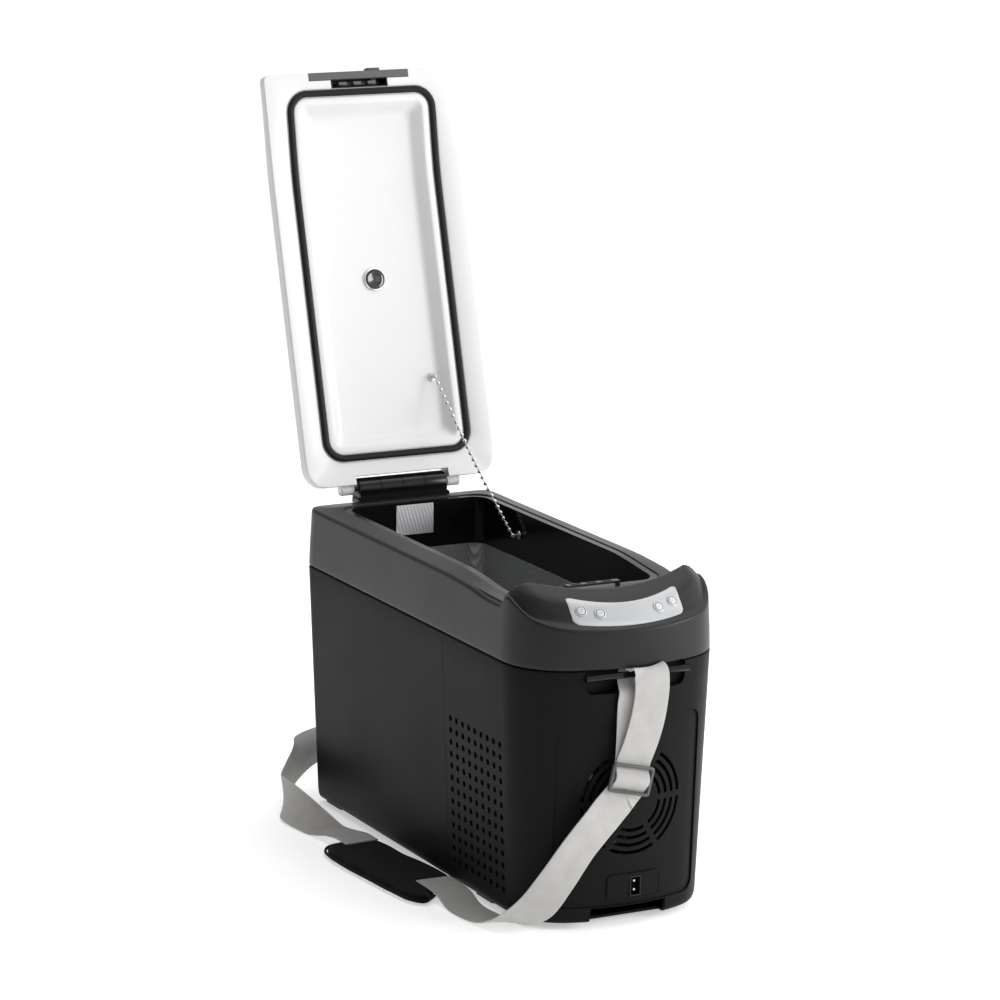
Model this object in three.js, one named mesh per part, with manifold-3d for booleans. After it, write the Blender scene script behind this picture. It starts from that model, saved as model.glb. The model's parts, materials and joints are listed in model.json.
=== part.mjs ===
// Portable compressor cooler fridge, lid open. Millimetres, +Z up, control panel towards -Y.
import * as THREE from "three";
import { mergeVertices } from "three/addons/utils/BufferGeometryUtils.js";
import Module from "manifold-3d";

const wasm = await Module();
wasm.setup();

// ---------- driving dimensions ----------
const BODY_W = 235; // widest, at the seam
const BODY_L = 567; // rear face to the bow of the front
const BOTTOM_Z = 6; // underside edge of the outer shell
const SEAM_Z = 277; // joint between shell and top frame
const RIM_IN_Z = 345.5; // inner edge of the rim
const RIM_OUT_Z = 341; // outer edge of the rim
const WALL = 3; // moulded shell wall
const GAP = 0.3; // clearance between neighbouring parts
const BASE_INSET = 11; // how far the shell tapers in at the bottom
const REAR_R = 25; // rear corner radius in plan
const FRONT_R = 72; // front corner radius in plan
const BOW_R = 205; // radius of the bowed front
const SPLIT_Y = -69; // joint between rear shell and compressor cover
const HINGE_Y = 276;
const HINGE_Z = 356;
const LID_OPEN = 106; // degrees from closed
const LID_END = 470; // free end of the lid, from the hinge axis
const LID_BACK = 4.3; // rear edge of the lid, from the hinge axis
const LID_HW = 117.2; // half width of the lid
const LID_TOP = 364; // top of the closed lid
const LID_SKIN = 2.5;
const OPEN_HW = 84; // half width of the bin opening
const OPEN_REAR = 236.5;
const OPEN_FRONT = -166;
const SEAT_W = 8.2; // width of the sealing flange
const DIP = 9; // drop of the rim and lid towards the free end
const HW = BODY_W / 2;
const HL = BODY_L / 2;
const FAR_X = HW + 33; // clear of the body's sides
const FAR_Y = HL + 37; // clear of the body's ends

// ---------- solids ----------
function solid(geometry) {
  const plain = geometry.clone();
  for (const name of Object.keys(plain.attributes)) {
    if (name !== "position") plain.deleteAttribute(name);
  }
  const merged = mergeVertices(plain, 1e-4);
  return new wasm.Manifold(
    new wasm.Mesh({
      numProp: 3,
      vertProperties: new Float32Array(merged.attributes.position.array),
      triVerts: new Uint32Array(merged.index.array),
    }),
  );
}

function geometryOf(manifold) {
  const mesh = manifold.getMesh();
  const points = new Float32Array(mesh.numVert * 3);
  for (let i = 0; i < mesh.numVert; i++) {
    for (let k = 0; k < 3; k++) points[3 * i + k] = mesh.vertProperties[i * mesh.numProp + k];
  }
  const geometry = new THREE.BufferGeometry();
  geometry.setAttribute("position", new THREE.BufferAttribute(points, 3));
  geometry.setIndex(new THREE.BufferAttribute(new Uint32Array(mesh.triVerts), 1));
  return geometry;
}

function union(list) {
  return list.reduce((sum, next) => sum.add(next));
}

function box(x0, x1, y0, y1, z0, z1) {
  const g = new THREE.BoxGeometry(x1 - x0, y1 - y0, z1 - z0);
  g.translate((x0 + x1) / 2, (y0 + y1) / 2, (z0 + z1) / 2);
  return solid(g);
}

// A cylinder (or cone) between two points.
function rod(a, b, r, segments = 16, r2 = r) {
  const from = new THREE.Vector3(...a);
  const to = new THREE.Vector3(...b);
  const g = new THREE.CylinderGeometry(r2, r, from.distanceTo(to), segments);
  const turn = new THREE.Quaternion().setFromUnitVectors(
    new THREE.Vector3(0, 1, 0),
    to.clone().sub(from).normalize(),
  );
  g.applyQuaternion(turn);
  g.translate((a[0] + b[0]) / 2, (a[1] + b[1]) / 2, (a[2] + b[2]) / 2);
  return solid(g);
}

// A solid through rings that all have the same number of points, closed by flat ends.
function loft(rings) {
  const n = rings[0].length;
  const points = rings.flat(2);
  const faces = [];
  for (let k = 0; k + 1 < rings.length; k++) {
    for (let i = 0; i < n; i++) {
      const j = (i + 1) % n;
      const a = k * n + i;
      const b = k * n + j;
      faces.push(a, b, b + n, a, b + n, a + n);
    }
  }
  [0, rings.length - 1].forEach((k) => {
    const centre = [0, 1, 2].map((c) => rings[k].reduce((s, p) => s + p[c], 0) / n);
    const hub = points.length / 3;
    points.push(...centre);
    for (let i = 0; i < n; i++) {
      const j = (i + 1) % n;
      if (k === 0) faces.push(hub, j, i);
      else faces.push(hub, k * n + i, k * n + j);
    }
  });
  const g = new THREE.BufferGeometry();
  g.setAttribute("position", new THREE.BufferAttribute(new Float32Array(points), 3));
  g.setIndex(faces);
  const made = solid(g);
  return made.volume() < 0 ? solid(flipped(g)) : made;
}

function flipped(g) {
  const index = g.index.array;
  for (let i = 0; i < index.length; i += 3) [index[i + 1], index[i + 2]] = [index[i + 2], index[i + 1]];
  return g;
}

// A closed sheet between two surfaces given on the same grid of columns and rows.
function slab(low, high) {
  const nx = low.length;
  const ny = low[0].length;
  const points = [...low.flat(), ...high.flat()].flat();
  const at = (i, j, up) => (up ? nx * ny : 0) + i * ny + j;
  const faces = [];
  const quad = (a, b, c, d) => faces.push(a, b, c, a, c, d);
  for (let i = 0; i + 1 < nx; i++) {
    for (let j = 0; j + 1 < ny; j++) {
      quad(at(i, j, 1), at(i + 1, j, 1), at(i + 1, j + 1, 1), at(i, j + 1, 1));
      quad(at(i, j, 0), at(i, j + 1, 0), at(i + 1, j + 1, 0), at(i + 1, j, 0));
    }
    quad(at(i, 0, 0), at(i + 1, 0, 0), at(i + 1, 0, 1), at(i, 0, 1));
    quad(at(i + 1, ny - 1, 0), at(i, ny - 1, 0), at(i, ny - 1, 1), at(i + 1, ny - 1, 1));
  }
  for (let j = 0; j + 1 < ny; j++) {
    quad(at(0, j + 1, 0), at(0, j, 0), at(0, j, 1), at(0, j + 1, 1));
    quad(at(nx - 1, j, 0), at(nx - 1, j + 1, 0), at(nx - 1, j + 1, 1), at(nx - 1, j, 1));
  }
  const g = new THREE.BufferGeometry();
  g.setAttribute("position", new THREE.BufferAttribute(new Float32Array(points), 3));
  g.setIndex(faces);
  return solid(g);
}

// A rounded rectangle prism, upright.
function prism(x0, x1, y0, y1, z0, z1, r, segments = 4) {
  const s = new THREE.Shape();
  s.moveTo(x0 + r, y0);
  s.lineTo(x1 - r, y0);
  s.absarc(x1 - r, y0 + r, r, -Math.PI / 2, 0);
  s.lineTo(x1, y1 - r);
  s.absarc(x1 - r, y1 - r, r, 0, Math.PI / 2);
  s.lineTo(x0 + r, y1);
  s.absarc(x0 + r, y1 - r, r, Math.PI / 2, Math.PI);
  s.lineTo(x0, y0 + r);
  s.absarc(x0 + r, y0 + r, r, Math.PI, 1.5 * Math.PI);
  const g = new THREE.ExtrudeGeometry(s, { depth: z1 - z0, bevelEnabled: false, curveSegments: segments });
  g.translate(0, 0, z0);
  return solid(g);
}

function lathe(profile, segments, centre) {
  const g = new THREE.LatheGeometry(profile.map((p) => new THREE.Vector2(...p)), segments);
  g.rotateX(Math.PI / 2);
  g.translate(...centre);
  const made = solid(g);
  return made.volume() < 0 ? solid(flipped(mergeVertices(g))) : made;
}

function pipe(points, r, steps, sides = 8) {
  const path = new THREE.CatmullRomCurve3(points.map((p) => new THREE.Vector3(...p)), false, "centripetal");
  const s = new THREE.Shape();
  s.absarc(0, 0, r, 0, 2 * Math.PI);
  return solid(
    new THREE.ExtrudeGeometry(s, { steps, curveSegments: sides / 2, bevelEnabled: false, extrudePath: path }),
  );
}

function turned(manifold, matrix) {
  const g = geometryOf(manifold);
  g.applyMatrix4(matrix);
  return solid(g);
}

// ---------- plan outline of the body ----------
const BOW_CY = -HL + BOW_R;
const CORNER_X = HW - FRONT_R;
const CORNER_Y = BOW_CY - Math.sqrt((BOW_R - FRONT_R) ** 2 - CORNER_X ** 2);
const BOW_ANGLE = Math.atan2(CORNER_X, BOW_CY - CORNER_Y); // half angle of the bow

function outline(inset, z) {
  const ring = [];
  const arc = (cx, cy, r, from, to, n) => {
    for (let i = 0; i <= n; i++) {
      const a = from + ((to - from) * i) / n;
      ring.push([cx + r * Math.cos(a), cy + r * Math.sin(a), z]);
    }
  };
  const q = Math.PI / 2;
  arc(HW - REAR_R, HL - REAR_R, REAR_R - inset, 0, q, 4);
  arc(-HW + REAR_R, HL - REAR_R, REAR_R - inset, q, 2 * q, 4);
  arc(-CORNER_X, CORNER_Y, FRONT_R - inset, 2 * q, 3 * q - BOW_ANGLE, 6);
  for (let i = 1; i < 6; i++) {
    const a = 3 * q - BOW_ANGLE + (2 * BOW_ANGLE * i) / 6;
    ring.push([(BOW_R - inset) * Math.cos(a), BOW_CY + (BOW_R - inset) * Math.sin(a), z]);
  }
  arc(CORNER_X, CORNER_Y, FRONT_R - inset, 3 * q + BOW_ANGLE, 4 * q, 6);
  return ring;
}

// The front of the outline at a given x.
function frontY(x, inset) {
  const ax = Math.min(Math.abs(x), HW - inset - 0.01);
  const joinX = (BOW_R - inset) * Math.sin(BOW_ANGLE);
  if (ax <= joinX) return BOW_CY - Math.sqrt((BOW_R - inset) ** 2 - ax * ax);
  return CORNER_Y - Math.sqrt(Math.max(0, (FRONT_R - inset) ** 2 - (ax - CORNER_X) ** 2));
}

const shellInset = (z) => (BASE_INSET * (SEAM_Z - z)) / (SEAM_Z - BOTTOM_Z);
const bodyLoft = (levels, extra = 0) => loft(levels.map(([z, inset]) => outline(inset + extra, z)));

// ---------- top surfaces ----------
const smooth = (t) => {
  const c = Math.min(1, Math.max(0, t));
  return c * c * (3 - 2 * c);
};
const dip = (y) => DIP * smooth((-60 - y) / 125);

function rimZ(x, y) {
  const side = (Math.abs(x) - (OPEN_HW + SEAT_W)) / 22;
  const back = (y - (OPEN_REAR + SEAT_W)) / 34;
  const out = Math.min(1, Math.max(0, side, back));
  return RIM_IN_Z - dip(y) + out * (RIM_OUT_Z - RIM_IN_Z + 0.55 * dip(y));
}

// The outer edge of the rim falls away towards the front as a finger scoop.
function scoopZ(x, y) {
  const fall = RIM_OUT_Z - 1 - 15 * smooth((-45 - y) / 130);
  return Math.min(rimZ(x, y), fall + 2 * (HW - 2.5 - Math.abs(x)));
}

const NOSE_INSET = 3;
function noseEdges(x) {
  const ax = Math.min(Math.abs(x), 114.4);
  const front = frontY(ax, NOSE_INSET);
  const rise = front + HL - NOSE_INSET;
  const frontZ = 317.6 + 0.23 * rise + 0.0011 * rise * rise;
  const u = ax / 91;
  let rear = -231 + 21 * u * u;
  let rearZ = 349.3 + 10.2 * u * u;
  if (ax > 91) {
    const v = (ax - 91) / (114.4 - 91);
    rear = -210 + 9.4 * v;
    rearZ = 359.5 - 2 * v - 14.5 * v * v;
  }
  if (ax >= 114.3) return { front: -203, frontZ: 342, rear: -202, rearZ: 342.5 };
  return { front, frontZ, rear, rearZ };
}

const NOSE_PROFILE = [
  [0, 0],
  [0.06, 0.02],
  [0.17, 0.085],
  [0.36, 0.385],
  [0.53, 0.665],
  [0.68, 0.805],
  [0.85, 0.915],
  [1, 0.993],
];
function profileAt(t) {
  for (let i = 0; i + 1 < NOSE_PROFILE.length; i++) {
    const [t0, f0] = NOSE_PROFILE[i];
    const [t1, f1] = NOSE_PROFILE[i + 1];
    if (t <= t1) return f0 + ((f1 - f0) * (t - t0)) / (t1 - t0);
  }
  return 1;
}
function nosePoint(x, t, up = 0) {
  const e = noseEdges(x);
  return [x, e.front + t * (e.rear - e.front), e.frontZ + profileAt(t) * (e.rearZ - e.frontZ) + up];
}

const NOSE_X = [0, 22, 44, 64, 80, 91, 98, 105, 110, 113, 114.35, 116, 130];
const RIM_X = [0, OPEN_HW + SEAT_W, 114.35, 130];
const mirrored = (xs) => [...xs.slice(1).reverse().map((x) => -x), ...xs];
const RIM_Y = [-192, -172, -148, -124, -100, -78, -60, -45, 244.7, 262, 279, 300];

const COARSE_X = [0, 44, 91, 108, 130];

// Everything under the nose and rim surface, lowered by `down`.
function underTop(down, columnsAt = NOSE_X) {
  const columns = mirrored(columnsAt).map((x) => {
    const e = noseEdges(x);
    const rows = [[x, -310, e.frontZ]];
    NOSE_PROFILE.forEach(([t]) => rows.push(nosePoint(x, t)));
    const foot = Math.min(e.rear + 11, -192.4);
    rows.push([x, e.rear + (foot - e.rear) * 0.3, e.rearZ - 0.02 * (e.rearZ - 336)]);
    rows.push([x, e.rear + (foot - e.rear) * 0.62, e.rearZ - 0.35 * (e.rearZ - 336)]);
    rows.push([x, foot, scoopZ(x, foot)]);
    RIM_Y.forEach((y) => rows.push([x, y, scoopZ(x, y)]));
    return rows;
  });
  const high = columns.map((rows) => rows.map(([x, y, z]) => [x, y, z - down]));
  const low = columns.map((rows) => rows.map(([x, y]) => [x, y, 240]));
  return slab(low, high);
}

// Everything under the sealing surface, raised by `up`; it has no nose and no scoop.
function underRim(up) {
  const ys = [-240, -202, ...RIM_Y];
  const high = mirrored(RIM_X).map((x) => ys.map((y) => [x, y, rimZ(x, y) + up]));
  const low = mirrored(RIM_X).map((x) => ys.map((y) => [x, y, 200]));
  return slab(low, high);
}

// ---------- bin opening ----------
const opening = (grow, z0, z1) =>
  prism(-OPEN_HW - grow, OPEN_HW + grow, OPEN_FRONT - grow, OPEN_REAR + grow, z0, z1, 17 + grow, 4);

// ---------- the part list ----------
const root = new THREE.Group();
const lid = new THREE.Group();
lid.position.set(0, HINGE_Y, HINGE_Z);
lid.rotation.x = (-LID_OPEN * Math.PI) / 180;
root.add(lid);

const paint = {};
function material(name, color, roughness, metalness) {
  paint[name] = new THREE.MeshStandardMaterial({ color, roughness, metalness });
}
material("charcoal", 0x3b3c3e, 0.55, 0);
material("black", 0x121314, 0.35, 0);
material("white", 0xeeeeec, 0.4, 0);
material("silver", 0xc9cacb, 0.4, 0.3);
material("grey", 0x6d6e70, 0.5, 0);
material("rubber", 0x1a1a1a, 0.85, 0);
material("aluminium", 0xb9bcbe, 0.35, 0.9);
material("steel", 0xa8abad, 0.3, 0.95);
material("copper", 0xb06a43, 0.35, 0.9);
material("foam", 0xe6dca8, 0.95, 0);
material("board", 0x2b5b3c, 0.6, 0);
material("webbing", 0xcbc9c5, 0.9, 0);
material("fabric", 0x1d1d1e, 0.95, 0);
material("ivory", 0xe4e2d8, 0.45, 0);

function part(name, slot, manifold, parent = root) {
  const mesh = new THREE.Mesh(geometryOf(manifold), paint[slot]);
  mesh.name = name;
  if (parent === lid) mesh.position.set(0, -HINGE_Y, -HINGE_Z);
  parent.add(mesh);
}

// ---------- outer shell and compressor cover ----------
const bottomLevels = [
  [BOTTOM_Z, shellInset(BOTTOM_Z) + 5.5],
  [BOTTOM_Z + 2, shellInset(BOTTOM_Z) + 2.4],
  [BOTTOM_Z + 6, shellInset(BOTTOM_Z) + 0.6],
  [BOTTOM_Z + 12, shellInset(BOTTOM_Z + 12)],
  [SEAM_Z - 2.2, 0.1],
  [SEAM_Z - 0.6, 0.9],
];
const shellOuter = bodyLoft(bottomLevels);
const shellInner = bodyLoft(
  [
    [BOTTOM_Z - 4, shellInset(BOTTOM_Z) + 5.5],
    [BOTTOM_Z + 2.5, shellInset(BOTTOM_Z) + 2.4],
    [BOTTOM_Z + 12, shellInset(BOTTOM_Z + 12)],
    [SEAM_Z + 5, 0.1],
  ],
  WALL,
);
const shell = shellOuter.subtract(shellInner);

// strap bar pockets under the seam, front and rear
const POCKET_HW = 58;
const POCKET_Z0 = 252;
const POCKET_DEPTH = 15;
const BAR_Z = 270;
const BAR_R = 3.6;
const WEB_W = 40;
const frontPocket = prism(-POCKET_HW, POCKET_HW, POCKET_Z0, SEAM_Z + 4, 0, 60, 9, 3);
const pocketMatrix = (y) => new THREE.Matrix4().makeRotationX(Math.PI / 2).setPosition(0, y, 0);
const pocketCut = (y) => turned(frontPocket, pocketMatrix(y));
const frontPocketCut = pocketCut(-HL + POCKET_DEPTH);
const rearPocketCut = pocketCut(HL + 60 - POCKET_DEPTH + 2);

function pocketWall(inner, sign) {
  const y0 = sign < 0 ? -HL + POCKET_DEPTH : HL - POCKET_DEPTH - 0.4;
  const y1 = y0 + 2.4;
  const back = box(-POCKET_HW - 3, POCKET_HW + 3, y0, y1, POCKET_Z0 - 3, SEAM_Z - 0.9);
  const trayY0 = sign < 0 ? -HL : y0;
  const trayY1 = sign < 0 ? y1 : HL;
  const tray = box(-POCKET_HW - 3, POCKET_HW + 3, trayY0, trayY1, POCKET_Z0 - 3, SEAM_Z - 0.9);
  const hollow = sign < 0 ? frontPocketCut : rearPocketCut;
  return tray.subtract(hollow).add(back).intersect(inner);
}
const shellFull = bodyLoft(bottomLevels, 0.02);
const rearHalf = box(-FAR_X, FAR_X, SPLIT_Y + 0.3, FAR_Y, -10, 300);
const frontHalf = box(-FAR_X, FAR_X, -FAR_Y, SPLIT_Y - 0.3, -10, 300);

const BAR_Y = -HL + 4.4; // front strap bar
const REAR_BAR_Y = HL - 6.4;
const barSocket = (y, r) => rod([-POCKET_HW - 2, y, BAR_Z], [POCKET_HW + 2, y, BAR_Z], r, 12);

let rearShell = shell.intersect(rearHalf).subtract(rearPocketCut);
rearShell = rearShell.add(pocketWall(shellFull, 1)).subtract(barSocket(REAR_BAR_Y, BAR_R + GAP));

// fan grille: four rings of slots between six spokes
const FAN_Z = 134;
const slots = [];
[31.5, 39.6, 47.6, 55.7].forEach((radius, ring) => {
  for (let k = 0; k < 6; k++) {
    const half = Math.PI / 6 - 3.1 / radius;
    const mid = ((k + 0.5) * Math.PI) / 3;
    const s = new THREE.Shape();
    s.absarc(0, 0, radius + 1.8, mid - half, mid + half, false);
    s.absarc(0, 0, radius - 1.8, mid + half, mid - half, true);
    const g = new THREE.ExtrudeGeometry(s, { depth: 60, bevelEnabled: false, curveSegments: ring > 1 ? 3 : 2 });
    g.applyMatrix4(new THREE.Matrix4().makeRotationX(Math.PI / 2).setPosition(0, -240, FAN_Z));
    slots.push(solid(g));
  }
});

// shallow recess of the front face, following the bow
const RECESS_HW = 83;
const RECESS_DEEP = 2;
const recessZone = turned(
  prism(-RECESS_HW, RECESS_HW, 23, 222, 0, 100, 13, 4),
  new THREE.Matrix4().makeRotationX(Math.PI / 2).setPosition(0, -225, 0),
);
const recessCut = recessZone.subtract(bodyLoft(bottomLevels, RECESS_DEEP));
const innerZone = turned(
  prism(-RECESS_HW - 4, RECESS_HW + 4, 19, 226, 0, 100, 15, 4),
  new THREE.Matrix4().makeRotationX(Math.PI / 2).setPosition(0, -225, 0),
);
const recessBack = innerZone
  .intersect(bodyLoft(bottomLevels, RECESS_DEEP))
  .subtract(bodyLoft(bottomLevels, RECESS_DEEP + WALL));

const NOTCH_HW = 44;
const notchCut = box(-NOTCH_HW, NOTCH_HW, -FAR_Y, -258, -4, 22);
const SOCKET_X = 5;
const SOCKET_Z = 42;
const SOCKET_HW = 6.6;
const SOCKET_HH = 11;
const socketCut = box(
  SOCKET_X - SOCKET_HW - GAP,
  SOCKET_X + SOCKET_HW + GAP,
  -FAR_Y,
  -240,
  SOCKET_Z - SOCKET_HH - GAP,
  SOCKET_Z + SOCKET_HH + GAP,
);
let cover = shell.intersect(frontHalf).subtract(recessCut).add(recessBack);
cover = cover.subtract(frontPocketCut).add(pocketWall(shellFull, -1));
cover = cover.subtract(barSocket(BAR_Y, BAR_R + GAP));
cover = cover.subtract(union(slots)).subtract(notchCut).subtract(socketCut);

part("outer_shell", "charcoal", rearShell);
part("compressor_cover", "charcoal", cover);
part("strap_bar_front", "black", barSocket(BAR_Y, BAR_R));
part("strap_bar_rear", "black", barSocket(REAR_BAR_Y, BAR_R));

// ---------- base ----------
const TRAY_Z = 5;
const FOOT_W = 19;
const FOOT_L = 40;
const FEET = [
  ["foot_rear_left", -86.5, 244.5],
  ["foot_rear_right", 86.5, 244.5],
  ["foot_mid_left", -86.5, -130],
  ["foot_mid_right", 86.5, -130],
];
const footBox = (x, y, grow, z0, z1) => {
  const halfW = FOOT_W / 2 + grow;
  const halfL = FOOT_L / 2 + grow;
  return prism(x - halfW, x + halfW, y - halfL, y + halfL, z0, z1, 3, 2);
};
const notchKeep = box(-NOTCH_HW - 1, NOTCH_HW + 1, -FAR_Y, -252, -4, 40);
const tray = bodyLoft([
  [TRAY_Z, BASE_INSET + 9.2],
  [TRAY_Z + 2.8, BASE_INSET + 9.2],
])
  .add(prism(-32, 32, -200, 200, 0, TRAY_Z + 1, 8))
  .subtract(notchKeep)
  .subtract(union(FEET.map(([, x, y]) => footBox(x, y, GAP, -1, 20))));
part("base_tray", "charcoal", tray);
FEET.forEach(([name, x, y]) => part(name, "rubber", footBox(x, y, 0, 0, TRAY_Z + 2.8)));

// ---------- top frame ----------
const frameOuter = bodyLoft([
  [SEAM_Z + 0.6, 0.9],
  [SEAM_Z + 2.2, 0.1],
  [300, 0.8],
  [325, 2.2],
  [342, NOSE_INSET],
  [380, 4.4],
]);
const frameHollow = bodyLoft(
  [
    [240, 0.4],
    [300, 0.8],
    [325, 2.2],
    [380, 4.4],
  ],
  WALL + 0.2,
);
let frame = frameOuter.intersect(underTop(0));
const throat = opening(5.6, 200, 420).add(opening(11, 326, 420));
const hollow = frameHollow.intersect(underTop(5.5, COARSE_X)).subtract(throat);
frame = frame.subtract(hollow);
const seat = opening(SEAT_W + 0.4, 300, 420).subtract(underRim(-4.6));
frame = frame.subtract(seat).subtract(opening(2.6, 200, 420));

// control panel in a shallow pocket of the nose
const PANEL_HW = 64;
function panelPatch(grow, topUp, lowUp) {
  const xs = [];
  const n = 10;
  for (let i = 0; i <= n; i++) xs.push(-PANEL_HW - grow + ((2 * PANEL_HW + 2 * grow) * i) / n);
  const rows = 4;
  const grid = (up) =>
    xs.map((x) => {
      const u = Math.abs(x) / PANEL_HW;
      const close = 0.06 * Math.max(0, (u - 0.9) / 0.1);
      const e = noseEdges(x);
      const span = e.rear - e.front;
      const t0 = 0.145 + 0.035 * u * u + close - grow / span;
      const t1 = 0.55 + 0.11 * u * u - close + grow / span;
      const line = [];
      for (let j = 0; j <= rows; j++) line.push(nosePoint(x, t0 + ((t1 - t0) * j) / rows, up));
      return line;
    });
  return slab(grid(lowUp), grid(topUp));
}
frame = frame.subtract(panelPatch(0.9, 30, -3.2));

// buttons, each along the local normal of the nose
const BUTTONS = [
  ["button_power", -53, 0.4],
  ["button_mode", -34, 0.37],
  ["button_down", 34, 0.37],
  ["button_up", 53, 0.4],
];
const BUTTON_R = 4.2;
function frameOf(x, t) {
  const p = new THREE.Vector3(...nosePoint(x, t));
  const du = new THREE.Vector3(...nosePoint(x + 1, t)).sub(new THREE.Vector3(...nosePoint(x - 1, t)));
  const dv = new THREE.Vector3(...nosePoint(x, t + 0.04)).sub(new THREE.Vector3(...nosePoint(x, t - 0.04)));
  const normal = du.cross(dv).normalize();
  return { p, normal };
}
const along = (f, d) => f.p.clone().addScaledVector(f.normal, d).toArray();
const panelRings = [];
const buttonHoles = [];
const buttonSolids = [];
BUTTONS.forEach(([name, x, t]) => {
  const f = frameOf(x, t);
  buttonHoles.push(rod(along(f, -14), along(f, 6), BUTTON_R + GAP, 12));
  panelRings.push(rod(along(f, -1.4), along(f, 1.5), BUTTON_R + 2, 12, BUTTON_R + 1.2));
  const stem = rod(along(f, -8), along(f, 1.3), BUTTON_R, 12);
  const crown = rod(along(f, 1.3), along(f, 1.9), BUTTON_R, 12, BUTTON_R - 0.9);
  const collar = rod(along(f, -8), along(f, -6.9), BUTTON_R + 1.6, 12);
  buttonSolids.push([name, stem.add(crown).add(collar), f]);
});
const collarHoles = union(BUTTONS.map(([, x, t]) => {
  const f = frameOf(x, t);
  return rod(along(f, -14), along(f, -5.6), BUTTON_R + 2.2, 12);
}));
frame = frame.subtract(union(buttonHoles)).subtract(collarHoles);
let panel = panelPatch(0, 0.5, -2.2).add(union(panelRings)).subtract(union(buttonHoles));
part("top_frame", "charcoal", frame);
part("control_panel", "silver", panel);
buttonSolids.forEach(([name, m]) => part(name, "silver", m));

// keypad and control board inside the nose
const COLLAR_TRAVEL = 1; // how far a button is pressed
const pressRoom = union(
  BUTTONS.map(([, x, t]) => {
    const f = frameOf(x, t);
    return rod(along(f, -8 - COLLAR_TRAVEL - GAP), along(f, -5), BUTTON_R + 2.4, 12);
  }),
);
const mat = panelPatch(-3, -13.4, -15).subtract(opening(7, 200, 420)).subtract(pressRoom);
part("keypad_mat", "rubber", mat);
const board = box(-46, 46, -258, -214, 288, 289.6);
const chips = [
  box(-30, -14, -246, -230, 289, 293),
  box(8, 26, -250, -236, 289, 296),
  box(30, 38, -232, -222, 289, 295),
];
part("control_board", "board", board.add(union(chips)));

// ---------- bin ----------
const DEEP_FRONT = -45;
const DEEP_Z = 49;
const SHELF_Z = 235;
const LINER = 2;
const deep = (grow, z0, z1) =>
  prism(-OPEN_HW - grow, OPEN_HW + grow, DEEP_FRONT - grow, OPEN_REAR + grow, z0, z1, 17 + grow, 4);
let liner = opening(LINER, SHELF_Z - LINER, 420).add(deep(LINER, DEEP_Z - LINER, 300));
liner = liner.intersect(underRim(-2.4));
liner = liner.add(opening(SEAT_W, 300, 420).intersect(underRim(-2.4)).subtract(underRim(-4.3)));
liner = liner.subtract(opening(0, SHELF_Z, 420)).subtract(deep(0, DEEP_Z, 300));

const sleeveGap = 0.4;
const SLEEVE_TOP = 291;
let sleeve = deep(-sleeveGap, DEEP_Z + GAP, SLEEVE_TOP).subtract(deep(-sleeveGap - 1, DEEP_Z + 1.4, 400));
sleeve = sleeve.subtract(box(-120, 120, -80, -24, SHELF_Z - 3, 400));
part("evaporator_lining", "aluminium", sleeve);
part("evaporator_cover_plate", "aluminium", box(-23, 23, OPEN_REAR - 1.6, OPEN_REAR - GAP, 308, 342));

// chain anchor on the right wall of the bin
const ANCHOR = [OPEN_HW - 6.2, 143, 318];
const anchorHole = rod([OPEN_HW - 1, 143, 318], [OPEN_HW + 6, 143, 318], 1.8, 10);
part("bin_liner", "black", liner.subtract(anchorHole));
const anchor = rod([OPEN_HW - GAP, 143, 318], [OPEN_HW - 2, 143, 318], 5, 16)
  .add(rod([OPEN_HW + 1.6, 143, 318], ANCHOR, 1.5, 10))
  .add(rod([ANCHOR[0], 143, 318], [ANCHOR[0] + 1.6, 143, 318], 2.8, 12));
part("chain_anchor_bin", "steel", anchor);

const foamOuter = bodyLoft(
  [
    [TRAY_Z + 3.2, shellInset(BOTTOM_Z) + 2.4],
    [BOTTOM_Z + 12, shellInset(BOTTOM_Z + 12)],
    [SEAM_Z - 1.5, 0.2],
  ],
  WALL + 1,
);
const foamRear = box(-FAR_X, FAR_X, SPLIT_Y - 7, FAR_Y, 0, 300);
const foamOverStep = box(-FAR_X, FAR_X, -172, FAR_Y, 220, 300);
let foam = foamOuter.intersect(foamRear.add(foamOverStep));
const foamUpper = frameHollow
  .intersect(underTop(6.4, COARSE_X))
  .intersect(bodyLoft([[SEAM_Z - 4, 0], [400, 4.6]], WALL + 1))
  .intersect(box(-FAR_X, FAR_X, -166, FAR_Y, 250, 400));
foam = foam.add(foamUpper).subtract(opening(6.1, 240, 420)).subtract(opening(11.5, 325.4, 420));
foam = foam.subtract(opening(LINER + 0.5, SHELF_Z - 2.6, 420));
foam = foam.subtract(deep(LINER + 0.5, DEEP_Z - 2.6, 300));
const rearPocketY = HL - POCKET_DEPTH - 1;
foam = foam.subtract(box(-POCKET_HW - 4, POCKET_HW + 4, rearPocketY, FAR_Y, POCKET_Z0 - 4, SEAM_Z + 0.4));
foam = foam.subtract(box(-OPEN_HW - 8, OPEN_HW + 8, OPEN_FRONT - 12, OPEN_REAR + 8, SEAM_Z - 0.3, SEAM_Z + 1));
part("insulation_foam", "foam", foam);

// ---------- latch striker on the frame ----------
const STRIKER_Y0 = -184;
const STRIKER_Y1 = -177;
const HOOK_X = [-25, -7, 11];
const STRIKER_Z = 341;
let striker = box(-31, 31, STRIKER_Y0, STRIKER_Y1, STRIKER_Z, STRIKER_Z + 2.4);
[-31, 28.5].forEach((x) => {
  striker = striker.add(box(x, x + 2.5, STRIKER_Y0, STRIKER_Y1, 337.1, STRIKER_Z + 1));
});
striker = striker.subtract(
  union(HOOK_X.map((x) => box(x - 0.6, x + 11.4, STRIKER_Y0 + 1.3, STRIKER_Y1 - 1.3, 330, 350))),
);
part("latch_striker", "steel", striker);

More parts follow.
